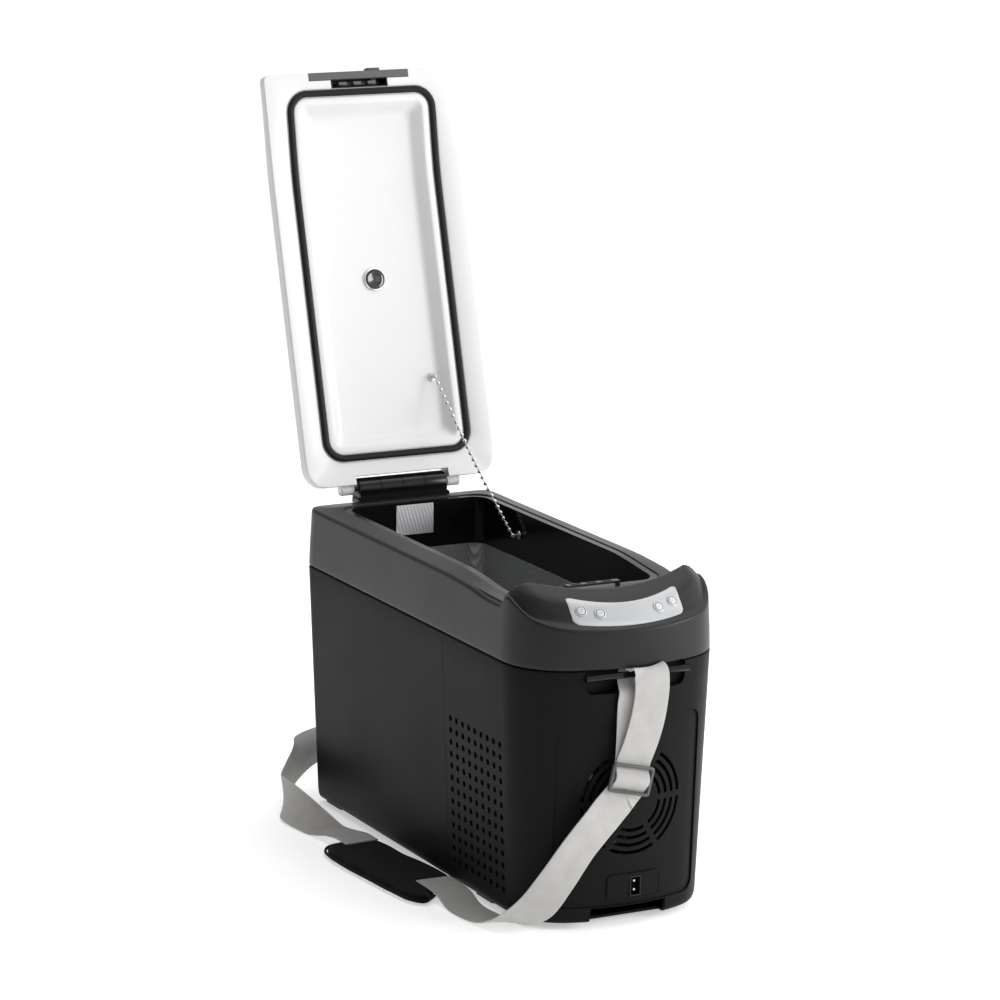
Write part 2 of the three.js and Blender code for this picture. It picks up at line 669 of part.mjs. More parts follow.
// ---------- hinge ----------
const BARREL_HW = 54.5;
const BARREL_R = 12.5;
const PIN_R = 2.5;
const barrelBore = rod([-90, HINGE_Y, HINGE_Z], [90, HINGE_Y, HINGE_Z], PIN_R + GAP, 16);
let bracket = rod([-BARREL_HW, HINGE_Y, HINGE_Z], [BARREL_HW, HINGE_Y, HINGE_Z], BARREL_R, 32);
bracket = bracket.add(box(-BARREL_HW, BARREL_HW, HINGE_Y - BARREL_R, HINGE_Y + 3, RIM_OUT_Z, HINGE_Z));
bracket = bracket.add(box(-57, 57, HINGE_Y - BARREL_R - 1, HINGE_Y + 3.6, RIM_OUT_Z, 348.6));
bracket = bracket.subtract(underRim(GAP)).subtract(barrelBore);
part("hinge_bracket", "black", bracket);
part("hinge_pin", "steel", rod([-74, HINGE_Y, HINGE_Z], [74, HINGE_Y, HINGE_Z], PIN_R, 16));

// ---------- lid ----------
const LID_Y0 = HINGE_Y - LID_BACK;
const LID_Y1 = HINGE_Y - LID_END;
function lidBody(inset) {
  const stations = [
    [0, 20, 5],
    [1.1, 14.6, 2.4],
    [4.2, 9, 0.8],
    [9, 4.6, 0.2],
    [14.8, 1.6, 0],
    [21, 0, 0],
  ].filter((row, i) => inset === 0 || i % 2 === 1);
  const front = [
    [7, 0, 0],
    [3.5, 1, 0.7],
    [1.1, 3.6, 2.2],
    [0, 7.2, 5],
  ].filter((row, i) => inset === 0 || i % 2 === 0);
  const rows = [];
  stations.forEach(([d, w, t]) => rows.push([LID_Y0 - inset - d, w, t]));
  [...RIM_Y.filter((y) => y < 0 && y > -180).reverse()].forEach((y) => rows.push([y, 0, 0]));
  front.forEach(([d, w, t]) => rows.push([LID_Y1 + inset + d, w, t]));
  return loft(
    rows.map(([y, narrow, lower]) => {
      const w = LID_HW - inset - narrow;
      const top = LID_TOP - inset - lower - 0.9 * dip(y);
      const half = [
        [w, 300],
        [w, top - 8],
        [w - 0.9, top - 4.4],
        [w - 3.4, top - 1.6],
        [w - 8, top - 0.4],
        [w - 34, top],
      ].filter((point, i) => inset === 0 || i % 2 === 1 || i === 0);
      return [...half, ...half.slice().reverse().map(([x, z]) => [-x, z])].map(([x, z]) => [x, y, z]);
    }),
  );
}
const DISH_DEEP = 12.4;
function dishBody(grow) {
  const rows = [
    [227, 64, 0.5],
    [224.5, 71, 2.6],
    [219, 75, 7.5],
    [214, 76, DISH_DEEP],
    [-45, 76, DISH_DEEP],
    [-60, 76, DISH_DEEP],
    [-78, 76, DISH_DEEP],
    [-100, 76, DISH_DEEP],
    [-124, 76, DISH_DEEP],
    [-140, 76, DISH_DEEP],
    [-145, 75, 7.5],
    [-150.5, 71, 2.6],
    [-153, 64, 0.5],
  ];
  return loft(
    rows.map(([y, w, h], i) => {
      const shift = i < 4 ? grow : i > 8 ? -grow : 0;
      const z0 = RIM_IN_Z - dip(y) + LID_LIFT;
      const z1 = z0 + h + grow;
      return [
        [w + 3 + grow, y + shift, z0 - 3],
        [w - h + grow * 0.4, y + shift, z1],
        [-w + h - grow * 0.4, y + shift, z1],
        [-w - 3 - grow, y + shift, z0 - 3],
      ];
    }),
  );
}
const LID_LIFT = 0.8; // gap between the closed lid and the rim
const LINER_T = 2.6;
const lidOuter = lidBody(0);

// clearance for the hinge barrel and for the latch
const barrelCut = box(-57.8, 57.8, HINGE_Y - BARREL_R - 1.8, FAR_Y, 300, 400);
const LATCH_HW = 62;
const TRIM_Y = LID_Y1 + 9.2;
const trimCut = box(-LATCH_HW - GAP, LATCH_HW + GAP, -300, TRIM_Y + GAP, 300, 351.6);
const HOUSE_HW = 35;
const HOUSE_Y0 = -185.2;
const HOUSE_Y1 = -175.6;
const HOUSE_Z1 = 350.6;
const houseCut = box(-HOUSE_HW - GAP, HOUSE_HW + GAP, HOUSE_Y0 - GAP, HOUSE_Y1 + GAP, 300, HOUSE_Z1 + GAP);

let lidShell = lidOuter.subtract(underRim(LID_LIFT + LINER_T + GAP)).subtract(lidBody(LID_SKIN));
const KNUCKLE_R = 6;
[-1, 1].forEach((side) => {
  const a = side * 58.2;
  const b = side * 74;
  const x0 = Math.min(a, b);
  const x1 = Math.max(a, b);
  lidShell = lidShell.add(rod([x0, HINGE_Y, HINGE_Z], [x1, HINGE_Y, HINGE_Z], KNUCKLE_R, 20));
  lidShell = lidShell.add(box(x0, x1, LID_Y0 - 4, HINGE_Y, HINGE_Z - 5.4, HINGE_Z + 4));
});
lidShell = lidShell.subtract(barrelCut).subtract(barrelBore).subtract(trimCut);
lidShell = lidShell.subtract(underRim(LID_LIFT + LINER_T + GAP));
part("lid_shell", "white", lidShell, lid);

let lidLiner = lidOuter.intersect(underRim(LID_LIFT + LINER_T)).subtract(underRim(LID_LIFT));
const behindLiner = lidBody(LID_SKIN + GAP);
lidLiner = lidLiner.add(dishBody(2.2).intersect(behindLiner).subtract(underRim(LID_LIFT)));
lidLiner = lidLiner.subtract(dishBody(0));
const gasketZone = (wide, narrow) => opening(wide, 300, 420).subtract(opening(narrow, 290, 430));
lidLiner = lidLiner.subtract(gasketZone(SEAT_W + GAP, 0.1).intersect(underRim(2.2)));
lidLiner = lidLiner.subtract(barrelCut).subtract(trimCut).subtract(houseCut);
// the liner clears the rim and the nose by the same lift at every corner
lidLiner = lidLiner.subtract(frame.translate([0, 0, 0.5])).subtract(frame.translate([0, 0.5, 0.2]));
const EYELET = [58, 157];
const eyeletHole = rod([EYELET[0], EYELET[1], 350], [EYELET[0], EYELET[1], 363], 1.8, 10);
part("lid_liner", "white", lidLiner.subtract(eyeletHole), lid);

const gasket = gasketZone(SEAT_W, 0.4).intersect(underRim(1.9)).subtract(underRim(-1.8));
part("lid_gasket", "rubber", gasket, lid);

let lidFoam = behindLiner.subtract(underRim(LID_LIFT + LINER_T + GAP)).subtract(dishBody(2.5));
lidFoam = lidFoam
  .subtract(box(-130, 130, HINGE_Y - BARREL_R - 5, FAR_Y, 300, 400))
  .subtract(box(-66, 66, -300, HOUSE_Y1 + 1, 300, 400))
  .subtract(opening(-2, 300, 420));
part("lid_foam", "foam", lidFoam, lid);

const BADGE_Y = 41;
const badgeZ = RIM_IN_Z + LID_LIFT + DISH_DEEP - GAP;
part("lid_badge", "black", rod([0, BADGE_Y, badgeZ - 1.6], [0, BADGE_Y, badgeZ], 11.2, 28), lid);
const ringBig = rod([0, BADGE_Y, badgeZ - 2.2], [0, BADGE_Y, badgeZ], 12.8, 28);
part("badge_ring", "silver", ringBig.subtract(rod([0, BADGE_Y, 340], [0, BADGE_Y, 370], 11.5, 28)), lid);

const eyelet = rod([EYELET[0], EYELET[1], 360], [EYELET[0], EYELET[1], 352.5], 1.5, 10)
  .add(rod([EYELET[0], EYELET[1], 358.4], [EYELET[0], EYELET[1], 356.6], 4.6, 16))
  .add(rod([EYELET[0], EYELET[1], 353.8], [EYELET[0], EYELET[1], 352], 2.8, 12));
part("chain_eyelet_lid", "steel", eyelet, lid);

// latch: fixed trim and housing, sliding hooks with a ribbed thumb pad
const SLIDE_SLOT = [17.4, 31.6];
const STEM = [18, 24];
const STEM_Z = [345, 348.4];
const slot = box(SLIDE_SLOT[0], SLIDE_SLOT[1], -300, HOUSE_Y0 + 1.6, STEM_Z[0] - 0.5, STEM_Z[1] + 0.5);
let trim = box(-LATCH_HW, LATCH_HW, LID_Y1 + 0.2, TRIM_Y - 0.2, 300, 351.2);
trim = trim.subtract(underRim(LID_LIFT)).subtract(slot);
trim = trim.subtract(box(-HOUSE_HW - GAP, HOUSE_HW + GAP, HOUSE_Y0 - GAP, 0, 300, 400));
part("latch_trim", "grey", trim, lid);
let house = box(-HOUSE_HW, HOUSE_HW, HOUSE_Y0, HOUSE_Y1, 300, HOUSE_Z1).subtract(underRim(LID_LIFT));
house = house.subtract(box(-HOUSE_HW + 1.5, HOUSE_HW - 1.5, HOUSE_Y0 + 1, HOUSE_Y1 - 0.8, 300, HOUSE_Z1 - 1.4));
part("latch_housing", "black", house.subtract(slot), lid);
const HOOK_Y = [STRIKER_Y0 + 1.9, STRIKER_Y1 - 1.9];
let slider = box(HOOK_X[0], STEM[1], HOOK_Y[0], HOOK_Y[1], STEM_Z[0], STEM_Z[1]);
HOOK_X.forEach((x) => {
  slider = slider.add(box(x, x + 4, HOOK_Y[0], HOOK_Y[1], 338.2, STEM_Z[1]));
  slider = slider.add(box(x, x + 9.4, HOOK_Y[0], HOOK_Y[1], 338.2, STRIKER_Z - 0.6));
});
slider = slider.add(box(STEM[0], STEM[1], LID_Y1 - 1.6, HOOK_Y[1], STEM_Z[0], STEM_Z[1]));
slider = slider.add(box(13, 29, LID_Y1 - 2.2, LID_Y1 - 0.5, 341, 351.4));
for (let i = 0; i < 6; i++) {
  slider = slider.add(box(13.4 + 2.7 * i, 14.8 + 2.7 * i, LID_Y1 - 3.4, LID_Y1 - 2, 341.4, 351));
}
part("latch_slider", "grey", slider, lid);

// ---------- ball chain ----------
const openTurn = new THREE.Matrix4()
  .makeTranslation(0, HINGE_Y, HINGE_Z)
  .multiply(new THREE.Matrix4().makeRotationX((-LID_OPEN * Math.PI) / 180))
  .multiply(new THREE.Matrix4().makeTranslation(0, -HINGE_Y, -HINGE_Z));
const chainTop = new THREE.Vector3(EYELET[0], EYELET[1], 350.4).applyMatrix4(openTurn);
const chainEnd = new THREE.Vector3(ANCHOR[0] - 1.9, ANCHOR[1], ANCHOR[2] + 0.4);
const BEADS = 26;
const CHAIN_SAG = 5;
const CHAIN_SIDES = 4;
const BEAD = [
  [0.04, 0.6],
  [0.5, 1.9],
  [0.96, 0.6],
]; // place along one pitch, radius
const chainAt = (t) => {
  const p = chainTop.clone().lerp(chainEnd, t);
  p.z -= 4 * CHAIN_SAG * t * (1 - t);
  return p;
};
const chainRings = [];
for (let i = 0; i < BEADS; i++) {
  BEAD.forEach(([place, radius]) => {
    const t = (i + place) / BEADS;
    const p = chainAt(t);
    const ahead = chainAt(t + 0.001).sub(p).normalize();
    const u = new THREE.Vector3(0, 0, 1).cross(ahead).normalize();
    const v = ahead.clone().cross(u);
    const ring = [];
    for (let k = 0; k < CHAIN_SIDES; k++) {
      const a = (2 * Math.PI * k) / CHAIN_SIDES;
      const q = p.clone().addScaledVector(u, radius * Math.cos(a)).addScaledVector(v, radius * Math.sin(a));
      ring.push(q.toArray());
    }
    chainRings.push(ring);
  });
}
const chain = loft(chainRings);
part("ball_chain", "steel", chain);

// ---------- refrigeration unit ----------
const COMP = { x: -34, y: -142, r: 46 };
const plate = box(COMP.x - 54, COMP.x + 54, COMP.y - 50, COMP.y + 50, 18, 20);
part("compressor_mount", "steel", plate);
[
  ["grommet_a", -42, -38],
  ["grommet_b", 42, -38],
  ["grommet_c", 0, 38],
].forEach(([name, dx, dy]) => {
  part(name, "rubber", rod([COMP.x + dx, COMP.y + dy, 8.1], [COMP.x + dx, COMP.y + dy, 17.7], 8, 12));
});
const compressor = lathe(
  [
    [0, 0],
    [34, 0],
    [43, 8],
    [COMP.r, 20],
    [COMP.r, 62],
    [COMP.r + 1.6, 64],
    [COMP.r + 1.6, 68],
    [COMP.r, 70],
    [COMP.r - 1, 98],
    [36, 116],
    [20, 125],
    [0, 128],
  ],
  18,
  [COMP.x, COMP.y, 20.3],
);
part("compressor", "black", compressor);

const COND = { x0: -62, x1: 62, y0: -232, y1: -204, z0: 70, z1: 198 };
const fins = [];
for (let i = 0; i < 7; i++) {
  const x = COND.x0 + 3 + ((COND.x1 - COND.x0 - 6) * i) / 6;
  fins.push(box(x - 1.3, x + 1.3, COND.y0, COND.y1, COND.z0, COND.z1));
}
let condenser = union(fins);
for (let j = 0; j < 2; j++) {
  const z = COND.z0 + 14 + 99 * j;
  condenser = condenser.add(rod([COND.x0 - 3, -218, z], [COND.x1 + 3, -218, z], 4, 6));
}
part("condenser", "aluminium", condenser);

const FAN_Y0 = -259;
const FAN_Y1 = -234.6;
const FAN_HW = 59.5;
const fanAxis = (y0, y1, r, n, r2) => rod([0, y0, FAN_Z], [0, y1, FAN_Z], r, n, r2);
let fanFrame = box(-FAN_HW, FAN_HW, FAN_Y0, FAN_Y1, FAN_Z - FAN_HW, FAN_Z + FAN_HW);
fanFrame = fanFrame.subtract(fanAxis(FAN_Y0 - 5, FAN_Y1 + 5, 56.6, 28));
fanFrame = fanFrame.add(fanAxis(FAN_Y1 - 3, FAN_Y1, 21, 24));
[45, 135].forEach((deg) => {
  const arm = box(-60, 60, FAN_Y1 - 3, FAN_Y1, -3, 3);
  const m = new THREE.Matrix4().makeRotationY((deg * Math.PI) / 180).setPosition(0, 0, FAN_Z);
  fanFrame = fanFrame.add(turned(arm, m));
});
fanFrame = fanFrame.add(fanAxis(FAN_Y1 - 9, FAN_Y1 - 1, 4, 12));
part("fan_frame", "black", fanFrame);
let rotor = fanAxis(FAN_Y0 + 3, FAN_Y1 - 3.6, 19.5, 20).subtract(fanAxis(FAN_Y0 + 12, FAN_Y1, 4.4, 12));
for (let k = 0; k < 7; k++) {
  const blade = [];
  for (let i = 0; i <= 2; i++) {
    const r = 17 + (37 * i) / 2;
    const pitch = 0.75 - 0.14 * i;
    const chord = 15 + 4.4 * i;
    const dx = (chord / 2) * Math.cos(pitch);
    const dy = (chord / 2) * Math.sin(pitch);
    const y = (FAN_Y0 + FAN_Y1) / 2 - 0.5;
    blade.push([
      [-dx, y - dy - 0.8, r],
      [dx, y + dy - 0.8, r],
      [dx, y + dy + 0.8, r],
      [-dx, y - dy + 0.8, r],
    ]);
  }
  const m = new THREE.Matrix4().makeRotationY((2 * Math.PI * k) / 7).setPosition(0, 0, FAN_Z);
  rotor = rotor.add(turned(loft(blade), m));
}
part("fan_rotor", "black", rotor);

let driver = box(38, 92, -190, -96, 116, 176);
for (let i = 0; i < 6; i++) driver = driver.add(box(92, 96, -184 + 15 * i, -180 + 15 * i, 120, 172));
part("compressor_driver_box", "grey", driver);
const DRIER = { x: 56, y: -140, r: 9, z0: 26, z1: 96 };
const drier = lathe(
  [
    [0, 0],
    [3.6, 0],
    [DRIER.r, 8],
    [DRIER.r, 62],
    [3.6, 70],
    [0, 70],
  ],
  16,
  [DRIER.x, DRIER.y, DRIER.z0],
);
part("filter_drier", "copper", drier);
const coilX = COND.x1 + 4.2;
part(
  "discharge_tube",
  "copper",
  pipe(
    [
      [COMP.x, COMP.y, 148.8],
      [COMP.x, COMP.y, 166],
      [COMP.x - 12, COMP.y - 20, 184],
      [COND.x0 - 12, -196, 190],
      [COND.x0 - 14, -212, COND.z0 + 115],
      [COND.x0 - 4.6, -218, COND.z0 + 113],
    ],
    2.6,
    12,
    5,
  ),
);
part(
  "liquid_tube",
  "copper",
  pipe(
    [
      [coilX, -218, 84],
      [coilX + 12, -214, 84],
      [coilX + 10, -190, 92],
      [DRIER.x + 8, -160, 108],
      [DRIER.x, DRIER.y, 108],
      [DRIER.x, DRIER.y, DRIER.z1 + 0.5],
    ],
    2,
    12,
    5,
  ),
);
part(
  "capillary_tube",
  "copper",
  pipe(
    [
      [DRIER.x, DRIER.y, DRIER.z0 - 0.5],
      [DRIER.x + 2, DRIER.y + 2, 16],
      [DRIER.x + 18, DRIER.y + 22, 14],
      [DRIER.x + 24, -94, 40],
      [DRIER.x + 20, -84, 90],
      [DRIER.x + 16, -82, 110],
    ],
    1.2,
    12,
    5,
  ),
);
part(
  "suction_tube",
  "copper",
  pipe(
    [
      [COMP.x - 52, -80, 204],
      [COMP.x - 56, -92, 200],
      [COMP.x - 58, -120, 150],
      [COMP.x - 60, COMP.y, 96],
      [COMP.x - 56, COMP.y, 70],
      [COMP.x - COMP.r - 2.2, COMP.y, 60],
    ],
    3,
    12,
    5,
  ),
);

// ---------- DC inlet ----------
const plateZone = turned(
  prism(SOCKET_X - 32, SOCKET_X + 32, SOCKET_Z - 15, SOCKET_Z + 14, 0, 100, 5, 3),
  new THREE.Matrix4().makeRotationX(Math.PI / 2).setPosition(0, -225, 0),
);
let socketPlate = plateZone
  .intersect(bodyLoft(bottomLevels, RECESS_DEEP - 2))
  .subtract(bodyLoft(bottomLevels, RECESS_DEEP - GAP));
socketPlate = socketPlate.subtract(socketCut);
part("socket_plate", "charcoal", socketPlate);
const inletY = -HL + shellInset(SOCKET_Z) + RECESS_DEEP;
let inlet = box(
  SOCKET_X - SOCKET_HW,
  SOCKET_X + SOCKET_HW,
  inletY - 2,
  inletY + 22,
  SOCKET_Z - SOCKET_HH,
  SOCKET_Z + SOCKET_HH,
);
inlet = inlet.subtract(
  box(SOCKET_X - 5.2, SOCKET_X + 5.2, inletY - 10, inletY + 10, SOCKET_Z - 9.4, SOCKET_Z + 9.4),
);
const pinLine = (dz, r, y0, y1) => rod([SOCKET_X, y0, SOCKET_Z + dz], [SOCKET_X, y1, SOCKET_Z + dz], r, 12);
[4.7, -4.7].forEach((dz) => {
  inlet = inlet.subtract(pinLine(dz, 1.5, inletY + 5, inletY + 19));
});
part("dc_inlet", "black", inlet);
part("inlet_pin_upper", "steel", pinLine(4.7, 1.2, inletY + 1, inletY + 18.6));
part("inlet_pin_lower", "steel", pinLine(-4.7, 1.2, inletY + 1, inletY + 18.6));

// ---------- carrying strap ----------
const WEB_T = 1.6;
function ribbon(stations, steps, width = WEB_W, thick = WEB_T) {
  const points = stations.map(([p]) => new THREE.Vector3(...beside(p)));
  const spine = new THREE.CatmullRomCurve3(points, false, "centripetal");
  const rings = [];
  for (let i = 0; i <= steps; i++) {
    const t = i / steps;
    const p = spine.getPoint(t);
    const along = spine.getTangent(t);
    const k = Math.min(stations.length - 2, Math.floor(t * (stations.length - 1)));
    const f = t * (stations.length - 1) - k;
    const w = new THREE.Vector3(...stations[k][1]).lerp(new THREE.Vector3(...stations[k + 1][1]), f);
    w.addScaledVector(along, -w.dot(along)).normalize();
    const n = along.clone().cross(w).normalize();
    rings.push(
      [
        [-1, -1],
        [1, -1],
        [1, 1],
        [-1, 1],
      ].map(([a, b]) => {
        const edge = p.clone().addScaledVector(w, (a * width) / 2);
        return edge.addScaledVector(n, (b * thick) / 2).toArray();
      }),
    );
  }
  return loft(rings);
}
const ACROSS = [1, 0, 0];
// the strap and pad were laid out beside a body of this half width and half length
const LAID_HW = 117.5;
const LAID_HL = 283.5;
const share = (value, from, to) => Math.min(1, Math.max(0, (value - from) / (to - from)));
function beside([x, y, z]) {
  const out = share(-x, 40, 100) * (HW - LAID_HW);
  const end = Math.sign(y) * share(Math.abs(y), 0, 250) * (HL - LAID_HL);
  return [x - out, y + end, z];
}
const BUCKLE = { x: -13, y: -293, z: 163, tilt: 0.24 };
const bx = (u, v) => BUCKLE.x + u * Math.cos(BUCKLE.tilt) + v * Math.sin(BUCKLE.tilt);
const bz = (u, v) => BUCKLE.z - u * Math.sin(BUCKLE.tilt) + v * Math.cos(BUCKLE.tilt);
const tiltDir = [Math.cos(BUCKLE.tilt), 0, -Math.sin(BUCKLE.tilt)];
// the webbing goes behind the upper bar, over the middle bar and behind the lower bar
const BUCKLE_PASS = [
  [19, 3.3],
  [15.5, 3.5],
  [12.4, 3.2],
  [7.2, 0],
  [2.2, -3.2],
  [0, -3.5],
  [-2.2, -3.2],
  [-7.2, 0],
  [-12.4, 3.2],
  [-15.5, 3.5],
  [-19, 3.3],
];
const front = [
  [[bx(0, 8), BUCKLE.y + 6.2, bz(0, 8)], tiltDir],
  [[bx(0, 17), BUCKLE.y + 6.4, bz(0, 17)], tiltDir],
  [[-7.5, -286.6, 205], [0.99, 0, -0.1]],
  [[-6, -285.4, 240], [1, 0, -0.06]],
  [[-4, -284.8, 252], [1, 0, 0]],
  [[-1, -276.6, 262], [1, 0, 0]],
  [[2, -273.2, 268.5], [1, 0, 0]],
  [[4, -275.4, 273.9], [1, 0, 0]],
  [[5, -280, 275.4], [1, 0, 0]],
  [[6, -284.6, 275.9], [1, 0, 0]],
  [[7, -288, 277], [1, 0, 0]],
  [[8.5, -291.2, 274], [1, 0, 0]],
  [[10, -292.4, 262], [1, 0, 0]],
  [[6.5, -293, 232], [1, 0, -0.08]],
  [[-2, -293.4, 203], [0.98, 0, -0.16]],
  ...BUCKLE_PASS.map(([v, dy]) => [[bx(0, v), BUCKLE.y + dy, bz(0, v)], tiltDir]),
  [[-32, -291, 143], [0.9, 0, -0.43]],
  [[-49, -294, 127], [0.8, 0, -0.6]],
  [[-72, -293, 98], [0.78, 0, -0.62]],
  [[-93, -285, 64], [0.79, -0.1, -0.6]],
  [[-107, -268, 33], [0.85, -0.25, -0.45]],
  [[-116, -240, 12.5], [0.93, -0.3, -0.2]],
  [[-125, -212, 4], [0.96, -0.26, -0.02]],
  [[-131, -178, 2.4], [1, -0.08, 0]],
  [[-131, -150, 3], ACROSS],
  [[-130.5, -130, 9], ACROSS],
  [[-130, -112, 11], ACROSS],
  [[-129, -76, 10.8], [1, 0.05, 0]],
];
part("strap_web_front", "webbing", ribbon(front, 76));
const rear = [
  [[-2, 287.8, 244], [1, 0, 0]],
  [[0, 284.8, 252], [1, 0, 0]],
  [[0, 276, 262], [1, 0, 0]],
  [[0, 271.4, 268.5], [1, 0, 0]],
  [[0, 273, 274.4], [1, 0, 0]],
  [[0, 277.6, 275.9], [1, 0, 0]],
  [[0, 284, 276.4], [1, 0, 0]],
  [[0, 290.8, 272], [1, 0, 0]],
  [[-3, 292.4, 250], [1, 0, 0]],
  [[-16, 293, 200], [0.96, 0, 0.28]],
  [[-42, 296, 140], [0.86, 0, 0.5]],
  [[-74, 300, 84], [0.72, 0.06, 0.69]],
  [[-106, 302, 48], [0.5, 0.2, 0.84]],
  [[-134, 284, 29], [0.2, 0.2, 0.95]],
  [[-156, 248, 24], [-0.1, 0.1, 0.99]],
  [[-164, 214, 20.5], [0.5, 0, 0.86]],
  [[-157, 178, 11.5], [0.9, 0, 0.42]],
  [[-149, 146, 5.4], [1, 0, 0.1]],
  [[-145, 118, 9], ACROSS],
  [[-142, 98, 11], ACROSS],
  [[-141, 74, 10.8], ACROSS],
];
part("strap_web_rear", "webbing", ribbon(rear, 44));

// tri-glide buckle
const turnBuckle = new THREE.Matrix4().makeRotationY(BUCKLE.tilt).setPosition(BUCKLE.x, BUCKLE.y, BUCKLE.z);
let buckle = turned(
  prism(-WEB_W / 2 - 4.5, WEB_W / 2 + 4.5, -15.5, 15.5, -2, 2, 3, 2),
  new THREE.Matrix4().makeRotationX(Math.PI / 2),
);
[-1, 1].forEach((side) => {
  const z0 = side > 0 ? 2.2 : -12.2;
  buckle = buckle.subtract(box(-WEB_W / 2 - 1, WEB_W / 2 + 1, -10, 10, z0, z0 + 10));
});
part("strap_buckle", "grey", turned(buckle, turnBuckle));

// shoulder pad lying on the floor beside the body
const padPlan = [
  [-187, 58],
  [-183, 80],
  [-170, 94],
  [-122, 92],
  [-115, 70],
  [-113, 29],
  [-108, 0],
  [-104, -45],
  [-106, -66],
  [-128, -92],
  [-150, -117],
  [-164, -126],
  [-174, -112],
  [-179, -80],
  [-184, -20],
  [-187, 20],
];
const padCentre = [-146, -12];
const padLevels = [
  [0.3, 0.96],
  [2.4, 1],
  [6.4, 1],
  [9.3, 0.955],
];
const scaled = (value, centre, k) => centre + (value - centre) * k;
const padRing = (z, k) =>
  padPlan.map(([x, y]) => beside([scaled(x, padCentre[0], k), scaled(y, padCentre[1], k), z]));
part("shoulder_pad", "fabric", loft(padLevels.map(([z, k]) => padRing(z, k))));

export default root;
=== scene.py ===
"""The looks of a portable compressor cooler fridge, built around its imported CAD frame.

Lengths are millimetres until a piece is finished, which scales it to metres.
"""

import json
import math

import bmesh
import bpy
import numpy as np
from mathutils import Matrix, Vector


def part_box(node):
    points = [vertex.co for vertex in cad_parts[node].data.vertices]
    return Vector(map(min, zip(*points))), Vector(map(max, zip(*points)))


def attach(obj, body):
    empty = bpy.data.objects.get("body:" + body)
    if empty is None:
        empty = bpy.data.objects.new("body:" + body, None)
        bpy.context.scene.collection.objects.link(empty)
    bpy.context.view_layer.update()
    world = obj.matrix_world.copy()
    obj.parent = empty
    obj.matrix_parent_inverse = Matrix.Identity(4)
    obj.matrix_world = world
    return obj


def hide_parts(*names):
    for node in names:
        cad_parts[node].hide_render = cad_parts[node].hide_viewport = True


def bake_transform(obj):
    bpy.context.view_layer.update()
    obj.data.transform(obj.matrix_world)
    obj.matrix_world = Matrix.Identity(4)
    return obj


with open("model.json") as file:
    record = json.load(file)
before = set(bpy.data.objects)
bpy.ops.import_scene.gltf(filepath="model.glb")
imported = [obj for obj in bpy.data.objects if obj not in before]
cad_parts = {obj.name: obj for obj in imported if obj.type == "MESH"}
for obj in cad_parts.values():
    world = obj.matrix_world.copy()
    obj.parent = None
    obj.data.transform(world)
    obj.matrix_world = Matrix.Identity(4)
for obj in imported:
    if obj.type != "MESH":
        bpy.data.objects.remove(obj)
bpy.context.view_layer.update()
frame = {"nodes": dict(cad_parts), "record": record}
MM = 0.001

# --- driving dimensions, as in the CAD source ---
HW, HL = 117.5, 283.5
BOTTOM_Z, SEAM_Z = 6.0, 277.0
RIM_IN_Z, RIM_OUT_Z = 345.5, 341.0
BASE_INSET = 11.0
REAR_R, FRONT_R, BOW_R = 25.0, 72.0, 205.0
SPLIT_Y = -69.0
HINGE_Y, HINGE_Z = 276.0, 356.0
LID_OPEN = 106.0
LID_Y0, LID_Y1 = HINGE_Y - 4.3, HINGE_Y - 470
LID_HW, LID_TOP = 117.2, 364.0
OPEN_HW, OPEN_REAR, OPEN_FRONT, DEEP_FRONT = 84.0, 236.5, -166.0, -45.0
SEAT_W, DIP = 8.2, 9.0
NOSE_INSET = 3.0
FAN_Z = 134.0

# --- clearances and bores ---
SEAM_GAP, SPLIT_GAP = 0.6, 0.3
PIN_BORE, BUTTON_BORE = 2.8, 4.6
SOCKET_HOLE = (-1.9, 11.9, 30.7, 53.3, 1.2)
FRONT_CUT = (-325, -225)


def linked(name, data):
    obj = bpy.data.objects.new(name, data)
    bpy.context.scene.collection.objects.link(obj)
    return obj


# --- camera ---
def add_camera():
    yaw, pitch, roll = (math.radians(a) for a in (27.446, 12.426, 0.626))
    forward = Vector((math.sin(yaw) * math.cos(pitch), math.cos(yaw) * math.cos(pitch), -math.sin(pitch)))
    right = Vector((math.cos(yaw), -math.sin(yaw), 0))
    up = right.cross(forward)
    side = math.cos(roll) * right + math.sin(roll) * up
    top = -math.sin(roll) * right + math.cos(roll) * up
    data = bpy.data.cameras.new("camera")
    data.sensor_width = 36
    data.lens = 146.9
    data.clip_end = 50
    camera = linked("camera", data)
    turn = Matrix((side, top, -forward)).transposed().to_4x4()
    camera.matrix_world = Matrix.Translation((-1.9751, -3.77435, 1.33273)) @ turn
    bpy.context.scene.camera = camera


add_camera()


# --- materials ---
MATERIALS = {}


def new_material(name):
    mat = bpy.data.materials.new(name)
    mat.use_nodes = True
    MATERIALS[name] = mat
    return mat.node_tree, mat.node_tree.nodes["Principled BSDF"]


def add(tree, kind, links=(), **values):
    node = tree.nodes.new("ShaderNode" + kind)
    for key, value in values.items():
        if key in node.inputs:
            node.inputs[key].default_value = value
        else:
            setattr(node, key, value)
    for source, socket in links:
        tree.links.new(source, node.inputs[socket])
    return node


def ramp(tree, source, low, high, start=0.3, stop=0.7):
    node = add(tree, "ValToRGB", [(source, "Fac")])
    for element, position, color in zip(node.color_ramp.elements, (start, stop), (low, high)):
        element.position = position
        element.color = (*color, 1)
    return node.outputs["Color"]


def spread(tree, source, low, high, start=0.3, stop=0.7):
    node = add(tree, "MapRange", [(source, "Value")])
    for socket, value in (("From Min", start), ("From Max", stop), ("To Min", low), ("To Max", high)):
        node.inputs[socket].default_value = value
    return node.outputs["Result"]


def coordinates(tree, kind="Object"):
    return add(tree, "TexCoord").outputs[kind]


